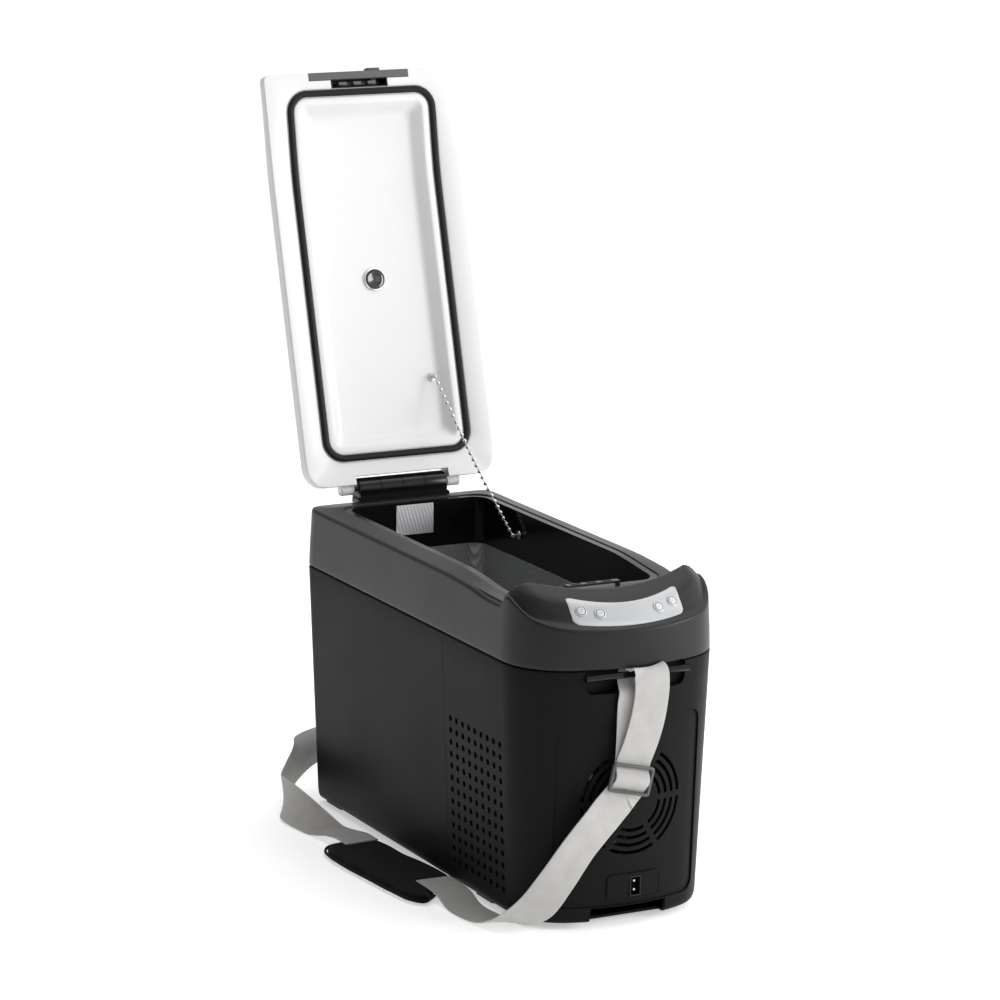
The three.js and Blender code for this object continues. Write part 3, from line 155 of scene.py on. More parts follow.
def noise(tree, where, scale, detail=2.0):
    return add(tree, "TexNoise", [(where, "Vector")], Scale=scale, Detail=detail).outputs["Fac"]


def combine(tree, operation, first, second):
    node = add(tree, "Math", operation=operation)
    tree.links.new(first, node.inputs[0])
    tree.links.new(second, node.inputs[1])
    return node.outputs[0]


def wire(tree, shader, tint, rough, height, strength, distance, invert=False, **inputs):
    """Joins colour, roughness and bump to the shader, and sets its other inputs."""
    tree.links.new(tint, shader.inputs["Base Color"])
    if isinstance(rough, float):
        shader.inputs["Roughness"].default_value = rough
    else:
        tree.links.new(rough, shader.inputs["Roughness"])
    bump = add(tree, "Bump", [(height, "Height")], Strength=strength, Distance=distance)
    bump.invert = invert
    tree.links.new(bump.outputs["Normal"], shader.inputs["Normal"])
    for key, value in inputs.items():
        shader.inputs[key.replace("_", " ")].default_value = value


def shades(color, factor):
    return [min(1.0, c * factor) for c in color]


def plastic(name, color, rough, vary=0.08, grain=1400.0, depth=0.06, specular=0.5, metallic=0.0, coat=0.0):
    """Moulded plastic or metal with a fine surface grain and a slow drift of colour and gloss."""
    tree, shader = new_material(name)
    where = coordinates(tree)
    slow, fine = noise(tree, where, 9.0, 4.0), noise(tree, where, grain)
    tint = ramp(tree, slow, shades(color, 1 - vary), shades(color, 1 + vary))
    gloss = spread(tree, slow, rough - 0.04, rough + 0.04)
    finish = {"Specular_IOR_Level": specular, "Metallic": metallic, "Coat_Weight": coat}
    wire(tree, shader, tint, gloss, fine, depth, 0.0004, **finish)


def embossed(name, color, rough, cell):
    """Rolled aluminium sheet with a raised diamond pattern; its low parts are painted darker, as painted
    shade.
    """
    tree, shader = new_material(name)
    where = coordinates(tree)
    bands = []
    for turn in (45, -45):
        place = add(tree, "Mapping", [(where, "Vector")])
        place.inputs["Rotation"].default_value = [math.radians(turn)] * 3
        wave = add(tree, "TexWave", [(place.outputs["Vector"], "Vector")], Scale=cell)
        bands.append(wave.outputs["Fac"])
    both = combine(tree, "MULTIPLY", *bands)
    gloss = spread(tree, noise(tree, where, 30.0, 5.0), rough - 0.06, rough + 0.1)
    # painted shade: the colour falls to 72 per cent in the low parts of the embossed pattern
    tint = ramp(tree, both, shades(color, 0.72), color, 0.1, 0.8)
    wire(tree, shader, tint, gloss, both, 0.7, 0.0005, Metallic=0.9)


def woven(name, color, rough, ribs, sheen, hollow_shade=0.25):
    """Narrow-woven webbing; the first texture axis runs along the strap, in metres. Its colour is painted
    darker in the low parts of the weave, as painted shade.
    """
    tree, shader = new_material(name)
    where = coordinates(tree, "UV")
    waves = []
    for axis in ("X", "Y"):
        wave = add(tree, "TexWave", [(where, "Vector")], Scale=ribs / 6.2832, bands_direction=axis)
        waves.append(wave.outputs["Fac"])
    both = combine(tree, "MULTIPLY", *waves)
    mixed = combine(tree, "ADD", both, noise(tree, where, 60.0, 6.0))
    # painted shade: the weave is darker where its relief is low, between the ribs and in the dips of the
    # noise
    tint = ramp(tree, mixed, shades(color, 1 - hollow_shade), color, 0.35, 1.0)
    wire(tree, shader, tint, rough, mixed, 0.55, 0.0005, Sheen_Weight=sheen, Specular_IOR_Level=0.25)


def cloth(name, color, scale):
    """Knitted cover of the pad, from object coordinates; each cell is painted lighter in its raised middle
    and darker at its sunken border, as painted light and shade.
    """
    tree, shader = new_material(name)
    where = coordinates(tree)
    cells = add(tree, "TexVoronoi", [(where, "Vector")], Scale=scale).outputs["Distance"]
    gloss = spread(tree, noise(tree, where, 25.0, 6.0), 0.86, 0.98)
    # painted light and shade: 1.6 times the colour at the middle of each knit cell, 0.6 times at its border
    tint = ramp(tree, cells, shades(color, 1.6), shades(color, 0.6), 0.0, 0.6)
    wire(tree, shader, tint, gloss, cells, 0.5, 0.0006, True, Sheen_Weight=0.06, Specular_IOR_Level=0.12)


plastic("charcoal", (0.009, 0.0092, 0.0097), 0.42, depth=0.10, specular=0.05)
plastic("frame_grey", (0.016, 0.0163, 0.017), 0.36, depth=0.08, specular=0.2)
plastic("black", (0.004, 0.004, 0.0045), 0.2, depth=0.02, specular=0.3)
plastic("white", (0.70, 0.70, 0.695), 0.38, vary=0.012, depth=0.02)
plastic("silver", (0.46, 0.47, 0.48), 0.38, vary=0.03, metallic=0.35, depth=0.05)
plastic("button", (0.60, 0.61, 0.62), 0.36, vary=0.02, depth=0.02)
plastic("grey", (0.075, 0.076, 0.078), 0.45)
plastic("rubber", (0.012, 0.012, 0.012), 0.8, grain=600.0, depth=0.2, specular=0.3)
plastic("gasket", (0.005, 0.005, 0.0055), 0.5, grain=500.0, depth=0.05, specular=0.2)
embossed("aluminium", (0.62, 0.63, 0.64), 0.44, 150.0)
plastic("steel", (0.58, 0.58, 0.59), 0.24, vary=0.05, metallic=0.95, depth=0.02)
plastic("steel_dark", (0.05, 0.05, 0.055), 0.35, metallic=0.4)
plastic("chrome", (0.75, 0.75, 0.76), 0.12, vary=0.02, metallic=1.0, depth=0.01)
plastic("badge", (0.006, 0.006, 0.007), 0.16, depth=0.01, coat=0.6)
plastic("copper", (0.60, 0.28, 0.16), 0.32, metallic=0.9, vary=0.15)
plastic("foam", (0.70, 0.58, 0.28), 0.95, grain=350.0, depth=0.6)
plastic("board", (0.02, 0.12, 0.05), 0.5)
woven("webbing", (0.56, 0.55, 0.535), 0.82, 2600.0, 0.25)
cloth("fabric", (0.005, 0.005, 0.0055), 900.0)
plastic("stitch", (0.50, 0.49, 0.48), 0.8, grain=2500.0, depth=0.4)


# --- mesh tools ---
TO_METRES = Matrix.Scale(MM, 4)
OPEN_TURN = (
    Matrix.Translation((0, HINGE_Y, HINGE_Z))
    @ Matrix.Rotation(math.radians(-LID_OPEN), 4, "X")
    @ Matrix.Translation((0, -HINGE_Y, -HINGE_Z))
)


def from_bmesh(name, bm):
    mesh = bpy.data.meshes.new(name)
    bm.to_mesh(mesh)
    bm.free()
    return linked(name, mesh)


def mesh_object(points, faces, name="piece"):
    mesh = bpy.data.meshes.new(name)
    mesh.from_pydata([tuple(float(c) for c in p) for p in points], [], faces)
    mesh.update()
    bm = bmesh.new()
    bm.from_mesh(mesh)
    bmesh.ops.recalc_face_normals(bm, faces=bm.faces)
    bm.to_mesh(mesh)
    bm.free()
    return linked(name, mesh)


def ring_faces(rings, count, closed=False):
    """Quads between successive rings of `count` points; `closed` joins the last ring to the first."""
    faces = []
    for k in range(rings if closed else rings - 1):
        a, b = k * count, ((k + 1) % rings) * count
        for i in range(count):
            j = (i + 1) % count
            faces.append((a + i, a + j, b + j, b + i))
    return faces


def loft(rings):
    count = len(rings[0])
    faces = ring_faces(len(rings), count)
    faces.append(tuple(range(count)))
    faces.append(tuple((len(rings) - 1) * count + i for i in range(count)))
    return mesh_object([p for ring in rings for p in ring], faces)


def torus(rings):
    return mesh_object([p for ring in rings for p in ring], ring_faces(len(rings), len(rings[0]), True))


def box(x0, x1, y0, y1, z0, z1):
    return upright([(x0, y0), (x1, y0), (x1, y1), (x0, y1)], z0, z1)


def circle(count):
    turns = [2 * math.pi * i / count for i in range(count)]
    return [(math.cos(t), math.sin(t)) for t in turns]


def frame_at(direction):
    d = direction.normalized()
    u = d.orthogonal().normalized()
    return u, d.cross(u)


def turned(a, b, profile, count=32):
    """A turned solid from a towards b; profile is (distance along, radius)."""
    a, b = Vector(a), Vector(b)
    d = (b - a).normalized()
    u, v = frame_at(d)
    rings = []
    for along, radius in profile:
        rings.append([a + d * along + u * (radius * c) + v * (radius * s) for c, s in circle(count)])
    return loft(rings)


def between(a, b):
    """The matrix that puts Z along a to b, midway."""
    turn = (b - a).to_track_quat("Z", "Y").to_matrix().to_4x4()
    return Matrix.Translation((a + b) / 2) @ turn


def rod(a, b, radius, count=24):
    return turned(a, b, [(0, radius), ((Vector(b) - Vector(a)).length, radius)], count)


def rounded_rect(x0, x1, y0, y1, r, steps=10):
    ring = []
    corners = ((x1 - r, y0 + r, -90), (x1 - r, y1 - r, 0), (x0 + r, y1 - r, 90), (x0 + r, y0 + r, 180))
    for cx, cy, start in corners:
        for i in range(steps + 1):
            t = math.radians(start + 90 * i / steps)
            ring.append((cx + r * math.cos(t), cy + r * math.sin(t)))
    return ring


def level(ring, z):
    return [(x, y, z) for x, y in ring]


def upright(ring, z0, z1):
    """A prism along Z from a ring of (x, y)."""
    return loft([level(ring, z0), level(ring, z1)])


def stood(ring, y):
    return [(x, y, z) for x, z in ring]


def facing(ring, y0, y1):
    """A prism along Y from a ring of (x, z)."""
    return loft([stood(ring, y0), stood(ring, y1)])


def tablet(x0, x1, z0, z1, r, y0, y1, steps=10):
    """A plate across Y, from y0 to y1, with corners of radius r."""
    return facing(rounded_rect(x0, x1, z0, z1, r, steps), y0, y1)


def apply_all(obj):
    """Replaces an object's mesh by what its modifiers make of it."""
    bpy.context.view_layer.update()
    graph = bpy.context.evaluated_depsgraph_get()
    made = bpy.data.meshes.new_from_object(obj.evaluated_get(graph))
    obj.modifiers.clear()
    old = obj.data
    obj.data = made
    bpy.data.meshes.remove(old)


def boolean(obj, other, operation="DIFFERENCE", keep=False):
    step = obj.modifiers.new("join", "BOOLEAN")
    step.operation = operation
    step.object = other
    step.solver = "MANIFOLD"
    apply_all(obj)
    if not keep:
        drop(other)


def drop(obj):
    mesh = obj.data
    bpy.data.objects.remove(obj)
    bpy.data.meshes.remove(mesh)


def join(objects):
    first = objects[0]
    for other in objects[1:]:
        boolean(first, other, "UNION")
    return first


def gather(objects):
    """One object out of several loose ones, without joining their solids."""
    bm = bmesh.new()
    for obj in objects:
        bm.from_mesh(obj.data)
        drop(obj)
    return from_bmesh("gathered", bm)


def dress(obj, slot, angle=32, material=None):
    """Smooth shading with sharp edges over an angle in degrees, and one material."""
    obj.data.shade_smooth()
    if angle:
        obj.data.set_sharp_from_angle(angle=math.radians(angle))
    obj.data.materials.clear()
    obj.data.materials.append(MATERIALS[material or slot])


STOOD_IN_FOR = set()


def stand_in(nodes):
    if nodes:
        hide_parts(*nodes)
        STOOD_IN_FOR.update(nodes)


def finish_piece(obj, name, body, slot, replaces=(), angle=32, material=None):
    """Opens a piece of the lid, scales it to metres, dresses it and puts it on its body."""
    obj.name = obj.data.name = name
    if body in ("lid", "latch"):
        obj.data.transform(OPEN_TURN)
    obj.data.transform(TO_METRES)
    dress(obj, slot, angle, material)
    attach(obj, body)
    stand_in(replaces)


# --- shapes shared by the body and the lid ---
BOW_CY = -HL + BOW_R
CORNER_X = HW - FRONT_R
CORNER_Y = BOW_CY - math.sqrt((BOW_R - FRONT_R) ** 2 - CORNER_X**2)
BOW_ANGLE = math.atan2(CORNER_X, BOW_CY - CORNER_Y)


def outline(inset, fine=24):
    ring = []

    def arc(cx, cy, r, start, stop, n):
        for i in range(n + 1):
            t = start + (stop - start) * i / n
            ring.append((cx + r * math.cos(t), cy + r * math.sin(t)))

    q = math.pi / 2
    arc(HW - REAR_R, HL - REAR_R, REAR_R - inset, 0, q, fine)
    arc(-HW + REAR_R, HL - REAR_R, REAR_R - inset, q, 2 * q, fine)
    arc(-CORNER_X, CORNER_Y, FRONT_R - inset, 2 * q, 3 * q - BOW_ANGLE, 2 * fine)
    arc(0, BOW_CY, BOW_R - inset, 3 * q - BOW_ANGLE, 3 * q + BOW_ANGLE, 2 * fine)
    arc(CORNER_X, CORNER_Y, FRONT_R - inset, 3 * q + BOW_ANGLE, 4 * q, 2 * fine)
    return ring


def front_y(x, inset):
    ax = min(abs(x), HW - inset - 0.01)
    if ax <= (BOW_R - inset) * math.sin(BOW_ANGLE):
        return BOW_CY - math.sqrt((BOW_R - inset) ** 2 - ax * ax)
    return CORNER_Y - math.sqrt(max(0, (FRONT_R - inset) ** 2 - (ax - CORNER_X) ** 2))


def smooth(t):
    c = min(1.0, max(0.0, t))
    return c * c * (3 - 2 * c)


def dip(y):
    return DIP * smooth((-60 - y) / 125)


def rim_z(x, y):
    side = (abs(x) - (OPEN_HW + SEAT_W)) / 22
    back = (y - (OPEN_REAR + SEAT_W)) / 34
    out = min(1.0, max(0.0, side, back))
    return RIM_IN_Z - dip(y) + out * (RIM_OUT_Z - RIM_IN_Z + 0.55 * dip(y))


def over_rim(up):
    return lambda x, y: rim_z(x, y) + up


def scoop_z(x, y):
    fall = RIM_OUT_Z - 1 - 15 * smooth((-45 - y) / 130)
    return min(rim_z(x, y), fall + 2 * (HW - 2.5 - abs(x)))


def nose_edges(x):
    ax = min(abs(x), 114.2)
    front = front_y(ax, NOSE_INSET)
    rise = front + HL - NOSE_INSET
    front_z = 317.6 + 0.23 * rise + 0.0011 * rise * rise
    u = ax / 91
    rear, rear_z = -231 + 21 * u * u, 349.3 + 10.2 * u * u
    if ax > 91:
        v = (ax - 91) / (114.4 - 91)
        rear, rear_z = -210 + 9.4 * v, 359.5 - 2 * v - 14.5 * v * v
    return front, front_z, rear, rear_z


PROFILE_T = np.array([0, 0.06, 0.17, 0.36, 0.53, 0.68, 0.85, 1.0])
PROFILE_F = np.array([0, 0.02, 0.085, 0.385, 0.665, 0.805, 0.915, 0.993])


def monotone(xs, ys):
    """Slopes of a monotone cubic through the points."""
    step = np.diff(ys) / np.diff(xs)
    slopes = np.zeros(len(xs))
    for i in range(1, len(xs) - 1):
        a, b = step[i - 1], step[i]
        slopes[i] = 0 if a * b <= 0 else 2 * a * b / (a + b)
    slopes[0] = 0.0
    slopes[-1] = step[-1] * 0.4
    return slopes


PROFILE_S = monotone(PROFILE_T, PROFILE_F)


def profile(t):
    t = min(1.0, max(0.0, t))
    i = min(len(PROFILE_T) - 2, int(np.searchsorted(PROFILE_T, t, side="right")) - 1)
    h = PROFILE_T[i + 1] - PROFILE_T[i]
    s = (t - PROFILE_T[i]) / h
    a = (1 + 2 * s) * (1 - s) ** 2 * PROFILE_F[i] + s * (1 - s) ** 2 * h * PROFILE_S[i]
    return a + s * s * (3 - 2 * s) * PROFILE_F[i + 1] + s * s * (s - 1) * h * PROFILE_S[i + 1]


def nose_point(x, t, up=0.0):
    front, front_z, rear, rear_z = nose_edges(x)
    return Vector((x, front + t * (rear - front), front_z + profile(t) * (rear_z - front_z) + up))


def top_z(x, y):
    """Height of the rim, scoop and nose over a point of the plan."""
    front, front_z, rear, rear_z = nose_edges(x)
    foot = min(rear + 11, -192.4)
    if y >= foot:
        return scoop_z(x, y)
    if y <= rear:
        return front_z + profile((y - front) / (rear - front)) * (rear_z - front_z)
    u = (y - rear) / (foot - rear)
    return rear_z + (scoop_z(x, foot) - rear_z) * u**2.1


# Directions from a rectangle inside the opening out to every ring around it.
CORE_R = 17.0
CORE_HW = OPEN_HW - CORE_R
CORE_Y0, CORE_Y1 = OPEN_FRONT + CORE_R, OPEN_REAR - CORE_R


def spokes():
    right = [((CORE_HW * i / 17, CORE_Y0), -90.0) for i in range(17)]
    right += [((CORE_HW, CORE_Y0), -90.0 + 90 * i / 24) for i in range(25)]
    side = [CORE_Y0 + 4.0 * i for i in range(1, 26)]
    y = side[-1]
    while y + 12 < CORE_Y1:
        y += 12
        side.append(y)
    right += [((CORE_HW, y), 0.0) for y in side]
    right += [((CORE_HW, CORE_Y1), 90 * i / 16) for i in range(17)]
    right += [((CORE_HW * (1 - i / 8), CORE_Y1), 90.0) for i in range(1, 9)]
    left = [((-c[0], c[1]), 180 - a) for c, a in right[1:-1]][::-1]
    ring = [(c[0], c[1], math.cos(math.radians(a)), math.sin(math.radians(a))) for c, a in right + left]
    return np.array(ring), len(right)


SPOKES, HALF = spokes()
COUNT = len(SPOKES)


def reach(polygon):
    """How far each spoke goes before it meets the polygon."""
    a = np.array(polygon)
    b = np.roll(a, -1, axis=0)
    out = np.zeros(COUNT)
    for k, (cx, cy, dx, dy) in enumerate(SPOKES):
        ex, ey = b[:, 0] - a[:, 0], b[:, 1] - a[:, 1]
        det = dx * ey - dy * ex
        det[np.abs(det) < 1e-12] = 1e-12
        qx, qy = a[:, 0] - cx, a[:, 1] - cy
        t = (qx * ey - qy * ex) / det
        s = (qx * dy - qy * dx) / det
        good = (t > 0) & (s >= -1e-9) & (s <= 1 + 1e-9)
        out[k] = t[good].max()
    return out


def plan(distance):
    return SPOKES[:, :2] + SPOKES[:, 2:] * np.reshape(distance, (-1, 1))


def opening_reach(grow):
    return np.full(COUNT, CORE_R + grow)


def lay(distance, height):
    """A ring of points; height is a number, an array or a function of x and y."""
    points = plan(distance)
    if callable(height):
        zs = [height(x, y) for x, y in points]
    else:
        zs = np.broadcast_to(height, COUNT)
    return [(x, y, z) for (x, y), z in zip(points, zs)]


def shell_inset(z):
    return BASE_INSET * (SEAM_Z - z) / (SEAM_Z - BOTTOM_Z)


# --- shell and compressor cover ---
SKIN = 5.0
LEVELS = [(6, 5.8), (6.4, 4.3), (7.2, 2.9), (8.6, 1.7), (10.6, 0.8), (13.5, 0.25), (18, 0)]


def body_rings(extra):
    """Heights and insets up the outside of the case, rounded at its foot and under the seam."""
    high = SEAM_Z - SEAM_GAP
    rings = [(z, shell_inset(z) + more + extra) for z, more in LEVELS]
    rings += [(z, shell_inset(z) + extra) for z in (60, 110, 160, 210, 250)]
    lip = ((1.6, 0.1), (0.9, 0.25), (0.3, 0.6), (0, 1.1))
    return rings + [(high - down, more + extra) for down, more in lip]


def body_solid(extra=0.0):
    return loft([level(outline(inset), z) for z, inset in body_rings(extra)])


def make_shells():
    rings = [level(outline(inset), z) for z, inset in body_rings(0)]
    for z, inset in ((276.4, 0.1), (18, shell_inset(18)), (9, 12.6)):
        rings.append(level(outline(inset + SKIN), z))
    whole = torus([*rings, level(outline(BASE_INSET + 8.4), BOTTOM_Z)])

    # strap bar pockets
    pocket_ring = rounded_rect(-58, 58, 252, SEAM_Z + 14, 9)
    for y0, y1, back in ((-HL - 20, -HL + 15, -HL + 15), (HL - 13, HL + 20, HL - 13)):
        tray = facing(rounded_rect(-61, 61, 249, SEAM_Z - 0.9, 9), min(y0, back) - 3, max(y1, back) + 3)
        boolean(tray, body_solid(0.05), "INTERSECT")
        boolean(whole, tray, "UNION")
        boolean(whole, facing(pocket_ring, y0, y1))
    for node in ("strap_bar_front", "strap_bar_rear"):
        low, high = (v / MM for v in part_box(node))
        middle = (low + high) / 2
        boolean(whole, rod((low.x - 0.4, middle.y, middle.z), (high.x + 0.4, middle.y, middle.z), 3.9))
    rear = linked("rear", whole.data.copy())
    boolean(rear, box(-150, 150, -400, SPLIT_Y + SPLIT_GAP, -20, 320))
    boolean(whole, box(-150, 150, SPLIT_Y - SPLIT_GAP, 400, -20, 320))

    # shallow recess of the front, with soft corners
    zone = tablet(-83, 83, 23, 222, 14, *FRONT_CUT)
    boolean(zone, body_solid(2.0))
    boolean(whole, zone)

    # fan grille: four rings of slots between six spokes
    half_slot, half_spoke, steps = 1.9, 3.1, 14
    for radius in (31.5, 39.6, 47.6, 55.7):
        for k in range(6):
            half = math.pi / 6 - half_spoke / radius
            mid = (k + 0.5) * math.pi / 3
            shape = []
            for r, way in ((radius + half_slot, 1), (radius - half_slot, -1)):
                for i in range(steps + 1):
                    t = mid + way * half * (2 * i / steps - 1)
                    shape.append((r * math.cos(t), FAN_Z + r * math.sin(t)))
            boolean(whole, facing(shape, -300, -240))

    # perforated intake field on the left flank
    columns, rows, hole_r = 9, 13, 3.5
    spots = [(-83 - 14.1 * i, 31 + 13 * j) for i in range(columns) for j in range(rows)]
    boolean(whole, gather([rod((-130, y, z), (-88, y, z), hole_r, 18) for y, z in spots]))
    boolean(whole, box(-44, 44, -320, -258, -4, 22))
    boolean(whole, tablet(*SOCKET_HOLE, -320, -240, 4))
    finish_piece(rear, "shell_rear", "body", "charcoal", ["outer_shell"])
    finish_piece(whole, "shell_front", "body", "charcoal", ["compressor_cover"])


# --- top frame ---
def make_frame():
    wall = [(SEAM_Z + SEAM_GAP, 1.3), (SEAM_Z + 0.9, 0.7), (SEAM_Z + 1.5, 0.3), (SEAM_Z + 2.4, 0.1)]
    far = {inset: reach(outline(inset, 40)) for inset in np.round(np.arange(0, 9.01, 0.25), 2)}
    insets = np.array(sorted(far))
    table = np.array([far[i] for i in insets])

    def edge(inset):
        """Reach of the outline at an inset, which may differ from spoke to spoke."""
        inset = np.broadcast_to(inset, COUNT)
        return np.array([np.interp(inset[k], insets, table[:, k]) for k in range(COUNT)])

    def wall_inset(z):
        return np.interp(z, [SEAM_Z + 2.2, 300, 325, 342, 380], [0.1, 0.8, 2.2, 3.0, 3.6])

    rounding = 4.5
    land = edge(NOSE_INSET + rounding)
    crown = np.array([top_z(x, y) for x, y in plan(land)])
    shoulder = crown - rounding
    rings = [lay(edge(inset), z) for z, inset in wall]
    for k in range(1, 13):
        z = SEAM_Z + 2.4 + (shoulder - SEAM_Z - 2.4) * k / 12
        rings.append(lay(edge(wall_inset(z)), z))
    base = wall_inset(shoulder)
    for k in range(1, 8):
        a = math.radians(90 * k / 8)
        inset = base + (NOSE_INSET + rounding - base) * (1 - math.cos(a))
        rings.append(lay(edge(inset), shoulder + rounding * math.sin(a)))
    seat = opening_reach(SEAT_W + 1.2)
    steps = 74
    for k in range(steps + 1):
        s = k / steps
        rings.append(lay(land + (seat - land) * s, top_z))
    lip = opening_reach(SEAT_W + 0.45)
    throat = opening_reach(2.8)
    rings += [
        lay(opening_reach(SEAT_W + 0.65), lambda x, y: top_z(x, y) - 0.25),
        lay(lip, over_rim(-0.9)), lay(lip, over_rim(-4.8)), lay(throat, over_rim(-4.8)),
        lay(throat, 300.0), lay(edge(9.0), 300.0), lay(edge(9.0), SEAM_Z + SEAM_GAP),
    ]
    body = torus(rings)
    boolean(body, panel_block(0.9, 30, -3.2))
    for x, t in BUTTONS.values():
        point, normal = nose_frame(x, t)
        boolean(body, rod(point - normal * 10, point + normal * 6, BUTTON_BORE, 32))
    finish_piece(body, "rim_frame", "body", "frame_grey", ["top_frame"], angle=40)


BUTTONS = {
    "button_power": (-53, 0.4), "button_mode": (-34, 0.37), "button_down": (34, 0.37), "button_up": (53, 0.4),
}
PANEL_HW = 64.0


def panel_span(x, grow):
    u = abs(x) / PANEL_HW
    close = 0.06 * max(0.0, (u - 0.9) / 0.1) ** 2
    front, _, rear, _ = nose_edges(x)
    t0 = 0.145 + 0.035 * u * u + close - grow / (rear - front)
    t1 = 0.55 + 0.11 * u * u - close + grow / (rear - front)
    return t0, t1


def grid_solid(low, high):
    """A closed sheet between two grids of points with the same columns and rows."""
    nx, ny = len(low), len(low[0])
    points = [p for column in low for p in column] + [p for column in high for p in column]
    top = nx * ny
    faces = []
    for i in range(nx - 1):
        for j in range(ny - 1):
            a, b, c, d = i * ny + j, (i + 1) * ny + j, (i + 1) * ny + j + 1, i * ny + j + 1
            faces += [(a, d, c, b), (top + a, top + b, top + c, top + d)]
        for j, flip in ((0, False), (ny - 1, True)):
            a, b = i * ny + j, (i + 1) * ny + j
            faces.append((b, a, top + a, top + b) if flip else (a, b, top + b, top + a))
    for j in range(ny - 1):
        for i, flip in ((0, True), (nx - 1, False)):
            a, b = i * ny + j, i * ny + j + 1
            faces.append((b, a, top + a, top + b) if flip else (a, b, top + b, top + a))
    return mesh_object(points, faces)


def panel_block(grow, up, down, soften=0.0):
    """The plate of the panel, from down to up over the nose, with its edges let down by soften."""
    columns, rows = 72, 20

    def sheet(offset, droop):
        out = []
        for i in range(columns + 1):
            x = -PANEL_HW - grow + (2 * PANEL_HW + 2 * grow) * i / columns
            t0, t1 = panel_span(x, grow)
            column = []
            for j in range(rows + 1):
                point = nose_point(x, t0 + (t1 - t0) * j / rows, offset)
                near = min((t0 + (t1 - t0) * min(j, rows - j) / rows - t0) * 75, PANEL_HW + grow - abs(x))
                point.z -= droop * (1 - min(1.0, near / 1.6)) ** 2
                column.append(point)
            out.append(column)
        return out

    return grid_solid(sheet(down, 0), sheet(up, soften))


def nose_frame(x, t):
    across = nose_point(x + 1, t) - nose_point(x - 1, t)
    along = nose_point(x, t + 0.04) - nose_point(x, t - 0.04)
    return nose_point(x, t), across.cross(along).normalized()


def make_panel():
    panel = panel_block(0, 0.55, -2.2, soften=0.7)
    for x, t in BUTTONS.values():
        point, normal = nose_frame(x, t)
        collar = [(0, 6.7), (1.4, 6.6), (2.3, 6.1), (2.6, 5.5), (2.6, 4.9), (0.2, BUTTON_BORE)]
        boolean(panel, turned(point - normal * 1.2, point + normal, collar, 48), "UNION")
        boolean(panel, rod(point - normal * 8, point + normal * 6, BUTTON_BORE, 40))
    finish_piece(panel, "control_plate", "body", "silver", ["control_panel"])
    border = panel_block(1.0, 0.14, -2.0)
    boolean(border, panel_block(0.05, 1.5, -3.0))
    finish_piece(border, "panel_border", "body", "black")
    for name, (x, t) in BUTTONS.items():
        point, normal = nose_frame(x, t)
        cap = [(0, 4.2), (9.0, 4.2), (9.5, 4.0), (9.8, 3.5), (9.9, 2.6), (9.75, 1.2), (9.7, 0.05)]
        button = turned(point - normal * 8, point, cap, 40)
        boolean(button, mark(name, point + normal * 1.6, normal), "UNION")
        finish_piece(button, "cap_" + name, name, "button", [name])


def mark(name, centre, normal):
    """A small raised sign on a button: a ring, a bar or a cross."""
    across = Vector((1, 0, 0))
    across = (across - normal * across.dot(normal)).normalized()
    along = normal.cross(across)

    def bar(length, width, direction, other):
        ring = [(-length, -width), (length, -width), (length, width), (-length, width)]
        base = [centre + direction * a + other * b for a, b in ring]
        return loft([[p - normal * 0.6 for p in base], [p + normal * 0.45 for p in base]])

    if name == "button_up":
        return join([bar(1.7, 0.3, across, along), bar(1.7, 0.3, along, across)])
    if name == "button_down":
        return bar(1.7, 0.3, across, along)
    ring = turned(centre - normal * 0.6, centre + normal, [(0, 1.9), (1.05, 1.9)], 32)
    boolean(ring, turned(centre - normal * 1.0, centre + normal, [(0, 1.35), (3, 1.35)], 32))
    if name == "button_power":
        shift = along * 1.5
        slot = bar(0.75, 2.0, across, along)
        slot.data.transform(Matrix.Translation(shift * 1.4))
        boolean(ring, slot)
        stroke = bar(0.28, 1.0, across, along)
        stroke.data.transform(Matrix.Translation(shift))
        return join([ring, stroke])
    return ring


# --- bin ---
def rim_block(up, low=200.0):
    """Everything under the sealing surface, raised by `up`."""
    ys = [-240, -202] + [-192 + 6 * i for i in range(26)] + [244.7, 262, 279, 300]
    xs = [-130, -118, -114.3, -92.2, 0, 92.2, 114.3, 118, 130]
    high = [[(x, y, rim_z(x, y) + up) for y in ys] for x in xs]
    return grid_solid([[(x, y, low) for y in ys] for x in xs], high)


def opening_prism(grow, z0, z1, front=OPEN_FRONT):
    half = OPEN_HW + grow
    return upright(rounded_rect(-half, half, front - grow, OPEN_REAR + grow, CORE_R + grow, 14), z0, z1)


def make_bin():
    walls = opening_prism(2, 233, 420)  # the shelf over the compressor; the deep part lies behind it
    boolean(walls, opening_prism(2, 47, 300, DEEP_FRONT), "UNION")
    boolean(walls, rim_block(-2.4, 20.0), "INTERSECT")
    flange = opening_prism(SEAT_W, 300, 420)
    boolean(flange, rim_block(-1.2), "INTERSECT")
    boolean(flange, rim_block(-4.3, 150.0))
    boolean(walls, flange, "UNION")
    boolean(walls, opening_prism(0, 235, 420))
    boolean(walls, opening_prism(0, 49, 300, DEEP_FRONT))
    finish_piece(walls, "liner_moulding", "body", "black", ["bin_liner"])


# --- lid ---
def lid_plan(inset):
    """Half widths of the lid against y, closed to a polygon."""
    rear = [(0, 20), (0.25, 17.4), (1.1, 14.6), (2.4, 11.4), (4.2, 9), (9, 4.6), (14.8, 1.6), (21, 0)]
    front = [(7, 0), (4.4, 0.55), (2.4, 1.9), (1.1, 3.6), (0.3, 5.4), (0, 7.2)]
    half = [(LID_HW - w - inset, LID_Y0 - inset - d) for d, w in rear]
    half += [(LID_HW - w - inset, LID_Y1 + inset + d) for d, w in front]
    return half + [(-x, y) for x, y in half[::-1]]


